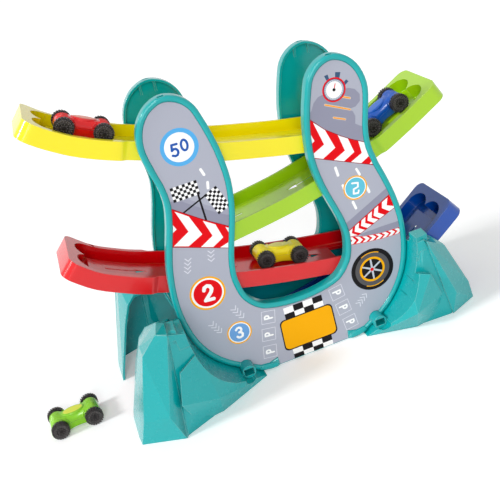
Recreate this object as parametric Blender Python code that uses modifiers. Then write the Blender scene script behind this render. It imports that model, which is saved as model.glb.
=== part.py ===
"""Zig-zag race track toy: two U-shaped side panels on rock feet carry four ramps for four small cars.

Metres, +Z up, the printed front panel faces -Y, the middle plane between the panels is Y = 0.
"""
import math

import bmesh
import bpy
from mathutils import Matrix, Vector

MM = 0.001

# Driving sizes, in millimetres
PANEL_SPAN = 88.6          # printed face to printed face
PANEL_DEPTH = 10.2         # how far a panel's side wall reaches inwards
PANEL_WALL = 2.4
PLATE_SINK = 1.8           # the printed field lies this far behind the flat of the rim
PLATE_THICK = 2.4
RIM_WIDE = 6.0
RIM_CREST = 0.6
DECAL_THICK = 0.5
CLEAR = 0.3                # air between neighbouring pieces
RIGHT_TOP = 308.5          # height of the right lobe
LEFT_TOP = 318.8           # the left arm stands a little taller
LEFT_WIDER = 3.2           # and its outer edge a little further out
SHOULDER = 100.0           # the arms are stretched above this height only

TRACK_HEIGHT = 18.2
TRACK_WALL = 2.4
TRACK_WIDE = PANEL_SPAN - 2.0 * PANEL_DEPTH - 2.0 * CLEAR
FLARE = 3.3                # the high end is this much wider on each side, outside the panels
FLOOR_DEEP = 9.0           # from the wall top down to the running strip
GUTTER_DEEP = 14.6
STRIP_WIDE = 37.4
LOBE_R = 16.3
POCKET_END = 10.0          # material left behind the wheel lobes
EXIT_LONG = 34.0
ARROW_TIPS = (86.0, 182.0, 276.0)
CORNER = 10.0

WHEEL_R = 9.6
WHEEL_WIDE = 7.2
WHEEL_BASE = 37.0
CAR_WIDE = 36.4
AXLE_R = 1.5
BORE_R = 1.9
DRUM_R = 8.7               # round fender drums behind the wheels
CAR_HALF_HIGH = 9.0        # body above and below the axle line
BUMPER = 8.6               # body beyond each axle

STAND_X = 47.72            # middle of the side panels, from the middle of the set with its loose car

TEAL = (0.012, 0.52, 0.50, 1.0)
TEAL_DEEP = (0.008, 0.44, 0.42, 1.0)

for old in list(bpy.data.objects):
    bpy.data.objects.remove(old, do_unlink=True)

toy = bpy.data.collections.new("race_track_set")
bpy.context.scene.collection.children.link(toy)
tools = bpy.data.collections.new("cutters")
bpy.context.scene.collection.children.link(tools)


def empty(name, place, parent=None):
    """An empty at a place given in millimetres, for pieces that stand or move together."""
    obj = bpy.data.objects.new(name, None)
    toy.objects.link(obj)
    obj.parent = parent
    obj.location = place.to_translation() * MM
    obj.rotation_euler = place.to_euler()
    return obj


# Everything hangs on this empty: the origin is the middle of the whole set's footprint on the floor,
# the drawing below is measured from the middle of the two side panels.
STAND = empty("stand_middle", Matrix.Translation((STAND_X, 0.0, 0.0)))


def material(name, rgba, rough):
    mat = bpy.data.materials.new(name)
    mat.use_nodes = True
    shader = mat.node_tree.nodes["Principled BSDF"]
    shader.inputs["Base Color"].default_value = rgba
    shader.inputs["Roughness"].default_value = rough
    mat.diffuse_color = rgba
    return mat


def add(name, bm, mat=None, smooth=35.0, parent=STAND, pivot=(0.0, 0.0, 0.0)):
    """Puts a mesh, drawn in millimetres, into the scene as one named object with its origin at the pivot."""
    bm.transform(Matrix.Translation(-Vector(pivot)))
    bmesh.ops.remove_doubles(bm, verts=bm.verts, dist=0.002)
    bmesh.ops.connect_verts_nonplanar(bm, angle_limit=math.radians(0.1), faces=bm.faces)
    bmesh.ops.recalc_face_normals(bm, faces=bm.faces)
    bm.transform(Matrix.Scale(MM, 4))
    mesh = bpy.data.meshes.new(name)
    bm.to_mesh(mesh)
    bm.free()
    obj = bpy.data.objects.new(name, mesh)
    obj.parent = parent
    obj.location = Vector(pivot) * MM
    if mat is None:
        tools.objects.link(obj)
        obj.hide_render = True
        obj.display_type = "WIRE"
        return obj
    toy.objects.link(obj)
    mesh.materials.append(mat)
    for face in mesh.polygons:
        face.use_smooth = True
    mesh.set_sharp_from_angle(angle=math.radians(smooth))
    return obj


def boolean(obj, tool, operation="DIFFERENCE"):
    mod = obj.modifiers.new(operation.title(), "BOOLEAN")
    mod.operation = operation
    mod.solver = "EXACT"
    mod.object = tool
    return mod


def stack(rings, closed=False):
    """Skins equal closed rings one after another; both ends are capped unless the stack is closed."""
    bm = bmesh.new()
    rows = [[bm.verts.new(p) for p in ring] for ring in rings]
    n = len(rows[0])
    pairs = list(zip(rows, rows[1:])) + ([(rows[-1], rows[0])] if closed else [])
    for a, b in pairs:
        for i in range(n):
            j = (i + 1) % n
            bm.faces.new((a[i], a[j], b[j], b[i]))
    if not closed:
        bm.faces.new(list(reversed(rows[0])))
        bm.faces.new(rows[-1])
    return bm


def hull(points):
    bm = bmesh.new()
    for p in points:
        bm.verts.new(p)
    bmesh.ops.convex_hull(bm, input=bm.verts)
    loose = [v for v in bm.verts if not v.link_faces]
    bmesh.ops.delete(bm, geom=loose, context="VERTS")
    bmesh.ops.dissolve_limit(bm, angle_limit=math.radians(1.0), verts=bm.verts, edges=bm.edges)
    return bm


def cylinder(radius, p0, p1, sides):
    a, b = Vector(p0), Vector(p1)
    turn = (b - a).to_track_quat("Z", "Y").to_matrix().to_4x4()
    bm = bmesh.new()
    bmesh.ops.create_cone(bm, cap_ends=True, segments=sides, radius1=radius, radius2=radius,
                          depth=(b - a).length, matrix=Matrix.Translation((a + b) / 2.0) @ turn)
    return bm


def box_between(x0, x1, y0, y1, z0, z1):
    bm = bmesh.new()
    middle = Matrix.Translation(((x0 + x1) / 2.0, (y0 + y1) / 2.0, (z0 + z1) / 2.0))
    size = Matrix.Diagonal((x1 - x0, abs(y1 - y0), z1 - z0, 1.0))
    bmesh.ops.create_cube(bm, size=1.0, matrix=middle @ size)
    return bm


def turned(name, profile, sides, mat, parent, pivot):
    """Turns an open run of (radius, y) points, which starts and ends on the axis, about the Y axis."""
    bm = bmesh.new()
    ring = [bm.verts.new((r * MM, y * MM, 0.0)) for r, y in profile]
    for a, b in zip(ring, ring[1:]):
        bm.edges.new((a, b))
    mesh = bpy.data.meshes.new(name)
    bm.to_mesh(mesh)
    bm.free()
    mesh.materials.append(mat)
    obj = bpy.data.objects.new(name, mesh)
    toy.objects.link(obj)
    obj.parent = parent
    obj.location = Vector(pivot) * MM
    screw = obj.modifiers.new("Turn", "SCREW")
    screw.axis = "Y"
    screw.steps = screw.render_steps = sides
    screw.use_merge_vertices = True
    screw.merge_threshold = 0.00001
    screw.use_smooth_shade = True
    screw.use_normal_calculate = True
    return obj


# Right half of the outline, from the foot corner up the outer edge, over the lobe and down to the
# middle of the U. The left half mirrors it, stretched and widened.
HALF = [(58, 0), (70, 7), (82, 14.5), (95, 25), (106, 38), (115, 53), (121.5, 70), (125.5, 90),
        (126.8, 110), (125.5, 130), (122, 150), (116.5, 170), (110, 190), (105.8, 210), (106.5, 228),
        (110.5, 247), (113.5, 266), (111.5, 281), (105.5, 294), (95, 304), (81, RIGHT_TOP), (66.5, 304),
        (55.5, 293), (49.5, 277), (45, 260), (41.8, 243), (40, 222), (40.7, 205), (44.5, 183),
        (50.5, 162), (57, 140), (59.8, 120), (57, 101), (51.5, 90), (42, 80.5), (30, 76), (15, 73.3)]
FLAT_HALF = 41.0           # the rim stops here, the field runs to the lower edge between


def left_point(x, z):
    """Mirrored point on the taller, slightly wider left arm."""
    grow = (LEFT_TOP - SHOULDER) / (RIGHT_TOP - SHOULDER)
    out = min(max((x - 60.0) / 50.0, 0.0), 1.0) * LEFT_WIDER * min(z / 40.0, 1.0)
    return (-(x + out), z if z < SHOULDER else SHOULDER + (z - SHOULDER) * grow)


def smooth_run(points, tolerance=0.42):
    """Catmull-Rom curve through the points, thinned where it runs straight."""
    dense = []
    for i in range(len(points) - 1):
        p0 = points[max(i - 1, 0)]
        p1, p2 = points[i], points[i + 1]
        p3 = points[min(i + 2, len(points) - 1)]
        for k in range(8):
            t = k / 8.0
            dense.append(tuple(0.5 * (2 * b + (c - a) * t + (2 * a - 5 * b + 4 * c - d) * t * t
                                      + (3 * b - a - 3 * c + d) * t ** 3)
                               for a, b, c, d in zip(p0, p1, p2, p3)))
    dense.append(points[-1])
    kept = [0]
    while kept[-1] < len(dense) - 1:
        i = kept[-1]
        j = i + 1
        while j + 1 < len(dense) and sag(dense, i, j + 1) < tolerance:
            j += 1
        kept.append(j)
    return [dense[k] for k in kept]


def sag(pts, i, j):
    a, b = Vector(pts[i]), Vector(pts[j])
    along = (b - a).normalized()
    return max(abs((Vector(p) - a).cross(along)) for p in pts[i:j + 1])


def panel_outline():
    right = list(HALF)
    left = [left_point(x, z) for x, z in reversed(HALF)]
    run = smooth_run(right + [(0.0, 72.5)] + left)
    lip = FLAT_HALF - 0.8
    return [(lip, 0.0), (FLAT_HALF, 0.0)] + run + [(-FLAT_HALF, 0.0), (-lip, 0.0)]


def inset(loop, distances):
    """Moves every corner of a closed loop inwards by its own distance, square to the edges."""
    n = len(loop)
    area = sum(loop[i][0] * loop[(i + 1) % n][1] - loop[(i + 1) % n][0] * loop[i][1] for i in range(n))
    side = 1.0 if area > 0 else -1.0
    moved = []
    for i in range(n):
        a, b, c = Vector(loop[i - 1]), Vector(loop[i]), Vector(loop[(i + 1) % n])
        e, f = (b - a).normalized(), (c - b).normalized()
        ne, nf = Vector((-e.y, e.x)) * side, Vector((-f.y, f.x)) * side
        mid = (ne + nf).normalized()
        scale = 1.0 / max(mid.dot(nf), 0.5)
        moved.append(tuple(b + mid * scale * distances[i]))
    return moved


OUTLINE = panel_outline()
# the rim widens into a toe and stops; along the lower edge between the toes only a thin lip is left
RIM_SHARE = [0.12 if abs(x) < FLAT_HALF and z < 0.5 else 1.75 if abs(x) < FLAT_HALF + 0.5 and z < 0.5 else 1.0
             for x, z in OUTLINE]


def ring_at(depth, y, share=True, back=False):
    """Outline moved inwards by depth and placed y behind the face of the panel."""
    pts = inset(OUTLINE, [depth * (s if share else 1.0) for s in RIM_SHARE])
    face = -PANEL_SPAN / 2.0
    return [(x, -(face + y) if back else face + y, z) for x, z in pts]


def side_panel(name, back, mat):
    half = RIM_WIDE / 2.0
    rings = [ring_at(RIM_WIDE, PLATE_SINK, True, back),
             ring_at(RIM_WIDE - 1.2, 0.2, True, back),
             ring_at(half, -RIM_CREST, True, back),
             ring_at(1.2, 0.2, True, back),
             ring_at(0.0, PLATE_SINK, True, back),
             ring_at(0.0, PANEL_DEPTH, True, back),
             ring_at(PANEL_WALL, PANEL_DEPTH, False, back),
             ring_at(PANEL_WALL, PLATE_SINK + PLATE_THICK, False, back)]
    # the rim has no height along the lower edge
    for ring, level in zip(rings[1:4], (0.2, -RIM_CREST, 0.2)):
        for i, s in enumerate(RIM_SHARE):
            if s < 1.0:
                x, y, z = ring[i]
                sunk = -PANEL_SPAN / 2.0 + PLATE_SINK - 0.05
                ring[i] = (x, -sunk if back else sunk, z)
    return add(name, stack(rings), mat)


LOBES = ((81.0, RIGHT_TOP), (left_point(81.0, RIGHT_TOP)[0], LEFT_TOP))
CLIPS = (75.6, -76.7)
CLIP_Z = 14.4
CLIP_PROUD = 12.0
BOSS_R = 7.4


def finish_panel(obj, back):
    """Notch and gussets at each lobe, a clip socket over each foot."""
    side = 1.0 if back else -1.0
    face = side * PANEL_SPAN / 2.0

    def y_at(depth):
        return face - side * depth

    for n, (x, top) in enumerate(LOBES):
        notch = add("%s_notch_%d" % (obj.name, n),
                    box_between(x - 3.4, x + 3.4, y_at(0.7), y_at(5.2), top - 2.0, top + 4.0))
        boolean(obj, notch)
        for k, shift in enumerate((-7.5, 7.5)):
            x0 = x + shift
            low = top - PANEL_WALL + 0.6
            web = hull([(x0 + s, y_at(PLATE_SINK + PLATE_THICK - 0.5), z)
                        for s in (-1.0, 1.0) for z in (low, low - 15.0)]
                       + [(x0 + s, y_at(PANEL_DEPTH - 1.0), low) for s in (-1.0, 1.0)])
            boolean(obj, add("%s_gusset_%d%d" % (obj.name, n, k), web), "UNION")
    for n, x in enumerate(CLIPS):
        boss = cylinder(BOSS_R, (x, y_at(-CLIP_PROUD), CLIP_Z), (x, y_at(PANEL_DEPTH - 1.5), CLIP_Z), 20)
        boolean(obj, add("%s_boss_%d" % (obj.name, n), boss), "UNION")
        slot = box_between(x - 4.6, x + 4.6, y_at(-CLIP_PROUD - 2.0), y_at(1.0), CLIP_Z - 3.6, CLIP_Z + 3.6)
        boolean(obj, add("%s_slot_%d" % (obj.name, n), slot))


def decal(name, back, mat):
    low = PLATE_SINK - CLEAR - DECAL_THICK
    pts = inset(OUTLINE, [RIM_WIDE * s + CLEAR for s in RIM_SHARE])
    face = -PANEL_SPAN / 2.0
    rings = []
    for y in (low, low + DECAL_THICK):
        rings.append([(x, -(face + y) if back else face + y, z) for x, z in pts])
    obj = add(name, stack(rings), mat)
    for n, x in enumerate(CLIPS):
        bite = cylinder(BOSS_R + CLEAR, (x, -60.0, CLIP_Z), (x, 60.0, CLIP_Z), 20)
        boolean(obj, add("%s_bite_%d" % (name, n), bite))
    return obj



class Path:
    """Smooth line in the XZ plane along the top edge of a track, from its high end face down."""

    def __init__(self, points, spacing=22.0):
        run = smooth_run(points, 0.25)
        self.pts = [Vector(p) for p in run]
        self.length = sum((b - a).length for a, b in zip(self.pts, self.pts[1:]))
        self.spacing = spacing

    def at(self, s):
        """Place and downhill direction at distance s along the line; straight on beyond its ends."""
        if s <= 0.0:
            d = (self.pts[1] - self.pts[0]).normalized()
            return self.pts[0] + d * s, d
        for a, b in zip(self.pts, self.pts[1:]):
            step = (b - a).length
            if s <= step:
                d = (b - a).normalized()
                return a + d * s, d
            s -= step
        d = (self.pts[-1] - self.pts[-2]).normalized()
        return self.pts[-1] + d * s, d

    def stations(self, s0, s1):
        count = max(2, int(round((s1 - s0) / self.spacing)) + 1)
        return [s0 + (s1 - s0) * k / (count - 1) for k in range(count)]

    def reach_x(self, x):
        """Distance along the line at which it passes x."""
        low, high = 0.0, self.length
        falling = self.pts[-1].x < self.pts[0].x
        for _ in range(40):
            mid = (low + high) / 2.0
            if (self.at(mid)[0].x > x) == falling:
                low = mid
            else:
                high = mid
        return low

    def place(self, s, y, n):
        """World point at s along, y across and n above the wall top, square to the line."""
        p, d = self.at(s)
        up = Vector((-d.y, d.x)) if d.x > 0 else Vector((d.y, -d.x))
        q = p + up * n
        return (q.x, y, q.y)


def sweep(path, s_list, section):
    """Section is a closed list of (y, n), or a function of s giving one."""
    rings = []
    for s in s_list:
        sec = section(s) if callable(section) else section
        rings.append([path.place(s, y, n) for y, n in sec])
    return stack(rings)


def arrow(path, tip):
    """Arrow-shaped slot through the running strip, its head pointing downhill."""
    plan = [(-43, -1.3), (-12, -1.3), (-14, -4.8), (0, 0), (-14, 4.8), (-12, 1.3), (-43, 1.3)]
    levels = (-TRACK_HEIGHT - 5.0, -FLOOR_DEEP + 4.0)
    return stack([[path.place(tip + u, v, n) for u, v in plan] for n in levels])


def track(name, points, mat, neck_x, pin_x, open_end):
    """A moulded channel: running strip between two gutters, two wheel lobes at the wider high end.

    neck_x is where the track narrows to pass between the panels, pin_x where it is pinned to them.
    """
    path = Path(points)
    half = TRACK_WIDE / 2.0
    inner, strip = half - TRACK_WALL, STRIP_WIDE / 2.0
    lobe_y = inner - 0.3 - LOBE_R
    start = LOBE_R + POCKET_END
    end = path.length
    neck = path.reach_x(neck_x)

    def bar(s):
        w = half + FLARE * min(max((neck - s) / 8.0, 0.0), 1.0)
        if s < CORNER:
            k = 1.0 - s / CORNER
            w -= CORNER * (1.0 - math.sqrt(1.0 - k * k))
        return [(-w, 0.0), (-w, -TRACK_HEIGHT), (w, -TRACK_HEIGHT), (w, 0.0)]

    corner_stations = [CORNER * (1.0 - math.cos(math.radians(a))) for a in (0, 25, 50, 75)]
    sides = corner_stations + [18.0, 27.0] + path.stations(38.0, neck - 8.0) + path.stations(neck, end)
    obj = add(name, sweep(path, sides, bar), mat)

    channel = [(-inner, 6.0), (-inner, -GUTTER_DEEP), (-strip, -GUTTER_DEEP), (-strip, -FLOOR_DEEP),
               (strip, -FLOOR_DEEP), (strip, -GUTTER_DEEP), (inner, -GUTTER_DEEP), (inner, 6.0)]
    stop = end + 6.0 if open_end else end - 4.0
    boolean(obj, add(name + "_channel", sweep(path, path.stations(start, stop), channel)))
    ahead = path.at(start)[1]
    for n, side in enumerate((-1.0, 1.0)):
        plan = [(1.0, LOBE_R), (1.0, -LOBE_R)]
        plan += [(-LOBE_R * math.sin(math.pi * k / 12.0), -LOBE_R * math.cos(math.pi * k / 12.0))
                 for k in range(1, 12)]
        rings = []
        for level in (-GUTTER_DEEP + 0.4, 10.0):
            base = Vector(path.place(start, side * lobe_y, level))
            rings.append([base + Vector((ahead.x * u, v, ahead.y * u)) for u, v in plan])
        boolean(obj, add("%s_lobe_%d" % (name, n), stack(rings)))
    under = [(-strip + 2.5, -TRACK_HEIGHT - 4.0), (strip - 2.5, -TRACK_HEIGHT - 4.0),
             (strip - 3.5, -FLOOR_DEEP - 2.2), (-strip + 3.5, -FLOOR_DEEP - 2.2)]
    last = end - 10.0 if open_end else end - EXIT_LONG - 9.0
    boolean(obj, add(name + "_under", sweep(path, path.stations(start + 8.0, last), under)))
    for n, tip in enumerate(ARROW_TIPS):
        boolean(obj, add("%s_arrow_%d" % (name, n), arrow(path, tip)))
    if not open_end:
        drop = sweep(path, path.stations(end - 6.0 - EXIT_LONG, end - 6.0),
                     [(-23.0, -TRACK_HEIGHT - 5.0), (23.0, -TRACK_HEIGHT - 5.0), (23.0, -6.0), (-23.0, -6.0)])
        boolean(obj, add(name + "_exit", drop))
    for n, x in enumerate(pin_x):
        s = path.reach_x(x)
        for k, side in enumerate((-1.0, 1.0)):
            tip = side * (PANEL_SPAN / 2.0 - PLATE_SINK - PLATE_THICK - CLEAR)
            a, b = path.place(s, side * (half - 1.0), -9.0), path.place(s, tip, -9.0)
            boolean(obj, add("%s_pin_%d%d" % (name, n, k), cylinder(4.0, a, b, 12)), "UNION")
    return path



BACK_EDGE = PANEL_SPAN / 2.0 - TRACK_WIDE / 2.0 - FLARE - 0.6     # how far the feet reach inwards
ROCK_WALL = 2.4


def drawn_in(points, wall):
    """The convex block with every face moved in by the wall, its bottom and inner sides left open."""
    bm = hull(points)
    bmesh.ops.recalc_face_normals(bm, faces=bm.faces)
    planes = []
    for face in bm.faces:
        n = face.normal.normalized()
        if all((n - m).length > 0.02 for m, _ in planes):
            planes.append((n, n.dot(face.verts[0].co)))
    bm.free()
    moved = [(n, d + 6.0) if n.z < -0.98 or n.y > 0.98 else (n, d - wall) for n, d in planes]
    corners = []
    for i in range(len(moved)):
        for j in range(i):
            for k in range(j):
                m = Matrix([moved[i][0], moved[j][0], moved[k][0]])
                if abs(m.determinant()) < 0.01:
                    continue
                p = m.inverted() @ Vector((moved[i][1], moved[j][1], moved[k][1]))
                inside = all(n.dot(p) <= d + 0.001 for n, d in moved)
                if inside and all((p - c).length > 0.05 for c in corners):
                    corners.append(p)
    return [tuple(c) for c in corners]


LEFT_ROCK = [
    # tall outer crystal
    [(-205, -43, 0), (-206, -30, 0), (-206, BACK_EDGE, 0), (-160.6, -60, 0), (-150, -40, 0),
     (-140, BACK_EDGE, 0),
     (-196, -46.2, 26), (-170, -51.3, 26), (-175, -50.3, 101), (-157.4, -53.7, 120), (-147.2, -55.7, 117),
     (-152.8, -31, 120), (-145.9, -35.5, 118.5), (-176, -30, 100),
     (-204, BACK_EDGE, 8), (-183, BACK_EDGE, 67),
     (-173, BACK_EDGE, 89), (-164, BACK_EDGE, 98), (-138, BACK_EDGE, 98)],
    # slab between the crystal and the arm
    [(-147.2, -53.8, 115), (-168.5, -49.8, 26), (-159, -56.5, 0), (-144, -42, 0), (-116, -36, 0),
     (-124, -46.4, 104),
     (-120, -42, 60), (-124, -24, 104), (-146, -30, 115), (-116, BACK_EDGE, 0), (-124, BACK_EDGE, 94),
     (-150, BACK_EDGE, 96), (-150, BACK_EDGE, 0)],
    # wedge running out towards the toe
    [(-147.7, -49.7, 67.8), (-156.3, -49.2, 31.6), (-118, -41, 16), (-117, -40, 0), (-146, -40, 0),
     (-124.6, -46.3, 81.3), (-84.4, -21.5, 16), (-62, -10, 10), (-59, -9, 0), (-59, BACK_EDGE, 0),
     (-62, BACK_EDGE, 9), (-121, BACK_EDGE, 60), (-150, BACK_EDGE, 50), (-150, BACK_EDGE, 0)],
    # stepped blocks on the shoulder
    [(x, y, z) for x, y in ((-147, -50), (-138.3, -49.3), (-137, -29), (-145, -28)) for z in (92, 114.5)],
    [(x, y, z) for x, y in ((-139, -48.3), (-129.5, -47.3), (-128, -22), (-138, -22)) for z in (90, 109)],
]

RIGHT_ROCK = [
    # tall outer crystal
    [(134, -24, 99), (123, -22, 97), (160, -24, 24), (152.5, -24, 0), (116, -22, 0), (148, -10, 93),
     (166, 0, 73), (187, -3, 19), (188, -6, 0),
     (190, BACK_EDGE, 0), (189, BACK_EDGE, 14), (168, BACK_EDGE, 70),
     (150, BACK_EDGE, 88), (122, BACK_EDGE, 90), (114, BACK_EDGE, 0), (118, -14, 95)],
    # crystal in front of it
    [(135.3, -28, 58.9), (106, -26.5, 70), (146.5, -23, 27), (110.8, -31, 19.8),
     (137.4, -18, 0), (112.2, -23.3, 0),
     (59, -8, 0), (59, BACK_EDGE, 0), (76, -12, 9), (137, BACK_EDGE, 0), (132, BACK_EDGE, 55),
     (106, BACK_EDGE, 68)],
    # stepped blocks on the shoulder
    [(x, y, z) for x, y in ((126, -23), (140, -21), (141, -6), (127, -6)) for z in (84, 103.5)],
    [(x, y, z) for x, y in ((117, -20), (127, -20), (128, -5), (118, -5)) for z in (80, 97.5)],
]


def grown_panel(name, by, y0, y1, mirror):
    """The panel's outline a little larger, as a thick plate used to cut its seat out of the feet."""
    pts = inset(OUTLINE, [-by] * len(OUTLINE))
    face = -PANEL_SPAN / 2.0
    rings = [[(x, mirror * (face + y), z) for x, z in pts] for y in (y0, y1)]
    return add(name, stack(rings))


def foot(name, blocks, mirror, mat, clip_x):
    """Hollow faceted rock, open underneath and on its inner side, with a seat for the panel."""
    face = -PANEL_SPAN / 2.0

    def world(points):
        return [(x, mirror * (face + y), z) for x, y, z in points]

    def socket(tag, radius):
        return add(tag, cylinder(radius, (clip_x, mirror * (face - 60.0), CLIP_Z),
                                 (clip_x, mirror * (face + 30.0), CLIP_Z), 20))

    obj = add(name, hull(world(blocks[0])), mat, 12.0)
    for n, block in enumerate(blocks[1:]):
        boolean(obj, add("%s_block_%d" % (name, n), hull(world(block))), "UNION")
    for n, block in enumerate(block for block in blocks if len(block) > 8):
        hollow = add("%s_hollow_%d" % (name, n), hull(world(drawn_in(block, ROCK_WALL))))
        boolean(hollow, grown_panel("%s_collar_%d" % (name, n), 3.4, -80.0, 40.0, mirror))
        boolean(hollow, socket("%s_well_%d" % (name, n), BOSS_R + 2.6))
        boolean(obj, hollow)
    boolean(obj, grown_panel(name + "_seat", 0.45, -70.0, 40.0, mirror))
    boolean(obj, socket(name + "_clip_seat", BOSS_R + 0.4))
    return obj



def car(prefix, frame, mat, rubber, steel):
    """One pull-free car: two body halves clipped over two axles, a wheel on each axle end."""
    half = CAR_WIDE / 2.0
    base = WHEEL_BASE / 2.0
    inner = half - WHEEL_WIDE
    body = empty(prefix + "_middle", frame, STAND)

    def put(name, bm, use=None):
        return add(name, bm, use, parent=body)

    body_half = inner - 0.5
    # past the axle in bumper lengths, half height and half width as shares of the body's
    hood = [(1.0, 0.1, 0.58), (0.82, 0.6, 0.78), (0.3, 1.0, 0.87), (-0.44, 0.98, 0.9)]
    tail = [(-base - u * BUMPER, v, w) for u, v, w in hood]
    nose = [(base + u * BUMPER, v, w) for u, v, w in reversed(hood)]
    spine = tail + [(0.0, 0.74, 0.9)] + nose
    for part, keep in (("upper", 1.0), ("lower", -1.0)):
        name = "%s_%s_shell" % (prefix, part)
        section = [(-1, 0.5), (-1, -0.8), (-0.8, -1), (0.8, -1), (1, -0.8), (1, 0.5), (0.6, 1), (-0.6, 1)]
        rings = [[(x, a * w * body_half, b * v * CAR_HALF_HIGH) for a, b in section] for x, v, w in spine]
        obj = put(name, stack(rings), mat)
        for n, x in enumerate((-base, base)):
            drum = cylinder(DRUM_R, (x, -body_half, 0), (x, body_half, 0), 14)
            drum.transform(Matrix.Translation((x, 0, 0)) @ Matrix.Rotation(0.1, 4, "Y")
                           @ Matrix.Translation((-x, 0, 0)))
            caps = [e for e in drum.edges if abs(e.verts[0].co.y - e.verts[1].co.y) < 0.1]
            bmesh.ops.bevel(drum, geom=caps, offset=1.4, segments=1, affect="EDGES")
            boolean(obj, put("%s_drum_%d" % (name, n), drum), "UNION")
        oval = [(math.cos(2 * math.pi * k / 12), math.sin(2 * math.pi * k / 12)) for k in range(12)]
        rims = ((0.67, 0.47, -0.81), (0.67, 0.47, 0.88), (0.595, 0.37, -0.93), (0.595, 0.37, 0.97))
        dome = hull([(u * base * a, v * body_half * b, z * CAR_HALF_HIGH) for a, b in oval for u, v, z in rims])
        boolean(obj, put(name + "_cockpit", dome), "UNION")
        for n, x in enumerate((-base, base)):
            boolean(obj, put("%s_bore_%d" % (name, n), cylinder(BORE_R, (x, -half, 0), (x, half, 0), 10)))
        end = base + 2.0 * BUMPER
        half_away = box_between(-end, end, -half, half, -2.0 * CAR_HALF_HIGH * keep, CLEAR / 2.0 * keep)
        boolean(obj, put(name + "_seam", half_away))
    for end, x in (("front", base), ("rear", -base)):
        hub = (x, 0.0, 0.0)
        rod = cylinder(AXLE_R, (x, -half + 2.2, 0), (x, half - 2.2, 0), 10)
        add("%s_%s_axle" % (prefix, end), rod, steel, parent=body, pivot=hub)
        blind = [(0.0, half - 1.6), (AXLE_R + CLEAR, half - 1.6), (AXLE_R + CLEAR, inner),
                 (WHEEL_R - 0.9, inner), (WHEEL_R, inner + 0.9), (WHEEL_R, half - 1.3),
                 (WHEEL_R - 1.1, half), (0.0, half)]
        for side, turn in (("right", -1.0), ("left", 1.0)):
            profile = [(r, turn * y) for r, y in blind]
            turned("%s_%s_%s_wheel" % (prefix, end, side), profile, 14, rubber, body, hub)


def car_on_track(path, s, lift=0.45):
    """Frame of a car standing on the running strip at distance s, nose downhill."""
    height = -FLOOR_DEEP + WHEEL_R + lift
    rear = Vector(path.place(s - WHEEL_BASE / 2.0, 0.0, height))
    front = Vector(path.place(s + WHEEL_BASE / 2.0, 0.0, height))
    centre, ahead = (rear + front) / 2.0, (front - rear).normalized()
    left = Vector((0, 1, 0)) if ahead.x > 0 else Vector((0, -1, 0))
    up = ahead.cross(left)
    return Matrix(((ahead.x, left.x, up.x, centre.x), (ahead.y, left.y, up.y, centre.y),
                   (ahead.z, left.z, up.z, centre.z), (0, 0, 0, 1)))


def car_on_floor(x, y, heading):
    return Matrix.Translation((x, y, WHEEL_R + 0.05)) @ Matrix.Rotation(math.radians(heading), 4, "Z")



teal = material("teal_plastic", TEAL, 0.35)
rock = material("rock_teal_plastic", TEAL_DEEP, 0.38)
grey = material("printed_grey_sheet", (0.43, 0.46, 0.54, 1.0), 0.45)
rubber = material("black_wheel_rubber", (0.02, 0.017, 0.016, 1.0), 0.6)
steel = material("axle_steel", (0.6, 0.6, 0.62, 1.0), 0.3)

for label, back in (("front", False), ("back", True)):
    finish_panel(side_panel(label + "_panel", back, teal), back)
    decal(label + "_decal", back, grey)

# Top edge of each track, from its high end face down, as (x, z)
YELLOW_LINE = [(-204.3, 334.4), (-193.5, 324.5), (-180.7, 315), (-161.7, 303.2), (-132, 289.8), (-80, 270.7),
               (-40, 256.8), (0, 246.6), (38, 238), (96, 227)]
GREEN_LINE = [(188.2, 246.4), (164.5, 233.7), (143.6, 222.9), (109.9, 207.3), (70, 193.5), (25.6, 182.5),
              (-8.8, 176.9), (-43.2, 172.6), (-98, 166)]
RED_LINE = [(-209.6, 192.3), (-196.1, 178.9), (-184, 169), (-164.2, 158), (-144.1, 148.6), (-100, 132.4),
            (-57, 119), (-16, 108.6), (16, 101.9), (52, 95.2), (96, 88)]
BLUE_LINE = [(187.3, 113), (165.5, 96.8), (153.2, 88), (140, 79.4), (110, 62.5), (85, 53), (60, 46), (20, 37),
             (-30, 29.5), (-104, 22)]

yellow = track("yellow_track", YELLOW_LINE, material("yellow_plastic", (0.92, 0.80, 0.0, 1.0), 0.3),
               -121.0, (-84.0, 74.0), False)
green = track("green_track", GREEN_LINE, material("green_plastic", (0.32, 0.62, 0.02, 1.0), 0.3),
              110.0, (74.0, -85.0), False)
red = track("red_track", RED_LINE, material("red_plastic", (0.76, 0.02, 0.03, 1.0), 0.3),
            -133.0, (-94.0, 84.0), False)
blue = track("blue_track", BLUE_LINE, material("blue_plastic", (0.01, 0.09, 0.42, 1.0), 0.3),
             127.0, (94.0, -46.0), True)

foot("front_left_foot", LEFT_ROCK, 1.0, rock, CLIPS[1])
foot("front_right_foot", RIGHT_ROCK, 1.0, rock, CLIPS[0])
foot("back_left_foot", LEFT_ROCK, -1.0, rock, CLIPS[1])
foot("back_right_foot", RIGHT_ROCK, -1.0, rock, CLIPS[0])

for label, place, rgba in (
        ("red_car", car_on_track(yellow, yellow.reach_x(-157.0)), (0.72, 0.012, 0.015, 1.0)),
        ("blue_car", car_on_track(green, green.reach_x(139.0)), (0.005, 0.09, 0.38, 1.0)),
        ("yellow_car", car_on_track(red, red.reach_x(-2.7)), (0.92, 0.70, 0.01, 1.0)),
        ("green_car", car_on_floor(-264.0, -10.0, 5.0), (0.26, 0.58, 0.01, 1.0))):
    car(label, place, material(label + "_plastic", rgba, 0.28), rubber, steel)
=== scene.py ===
"""Finished look of the zig-zag race track toy: printed U panels, ramps, rock feet and four small cars.

Lengths are drawn in millimetres from the middle of the two side panels, as the solids are, and each
piece is moved into the set's frame, in metres, when it is made.
"""
import math

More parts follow.
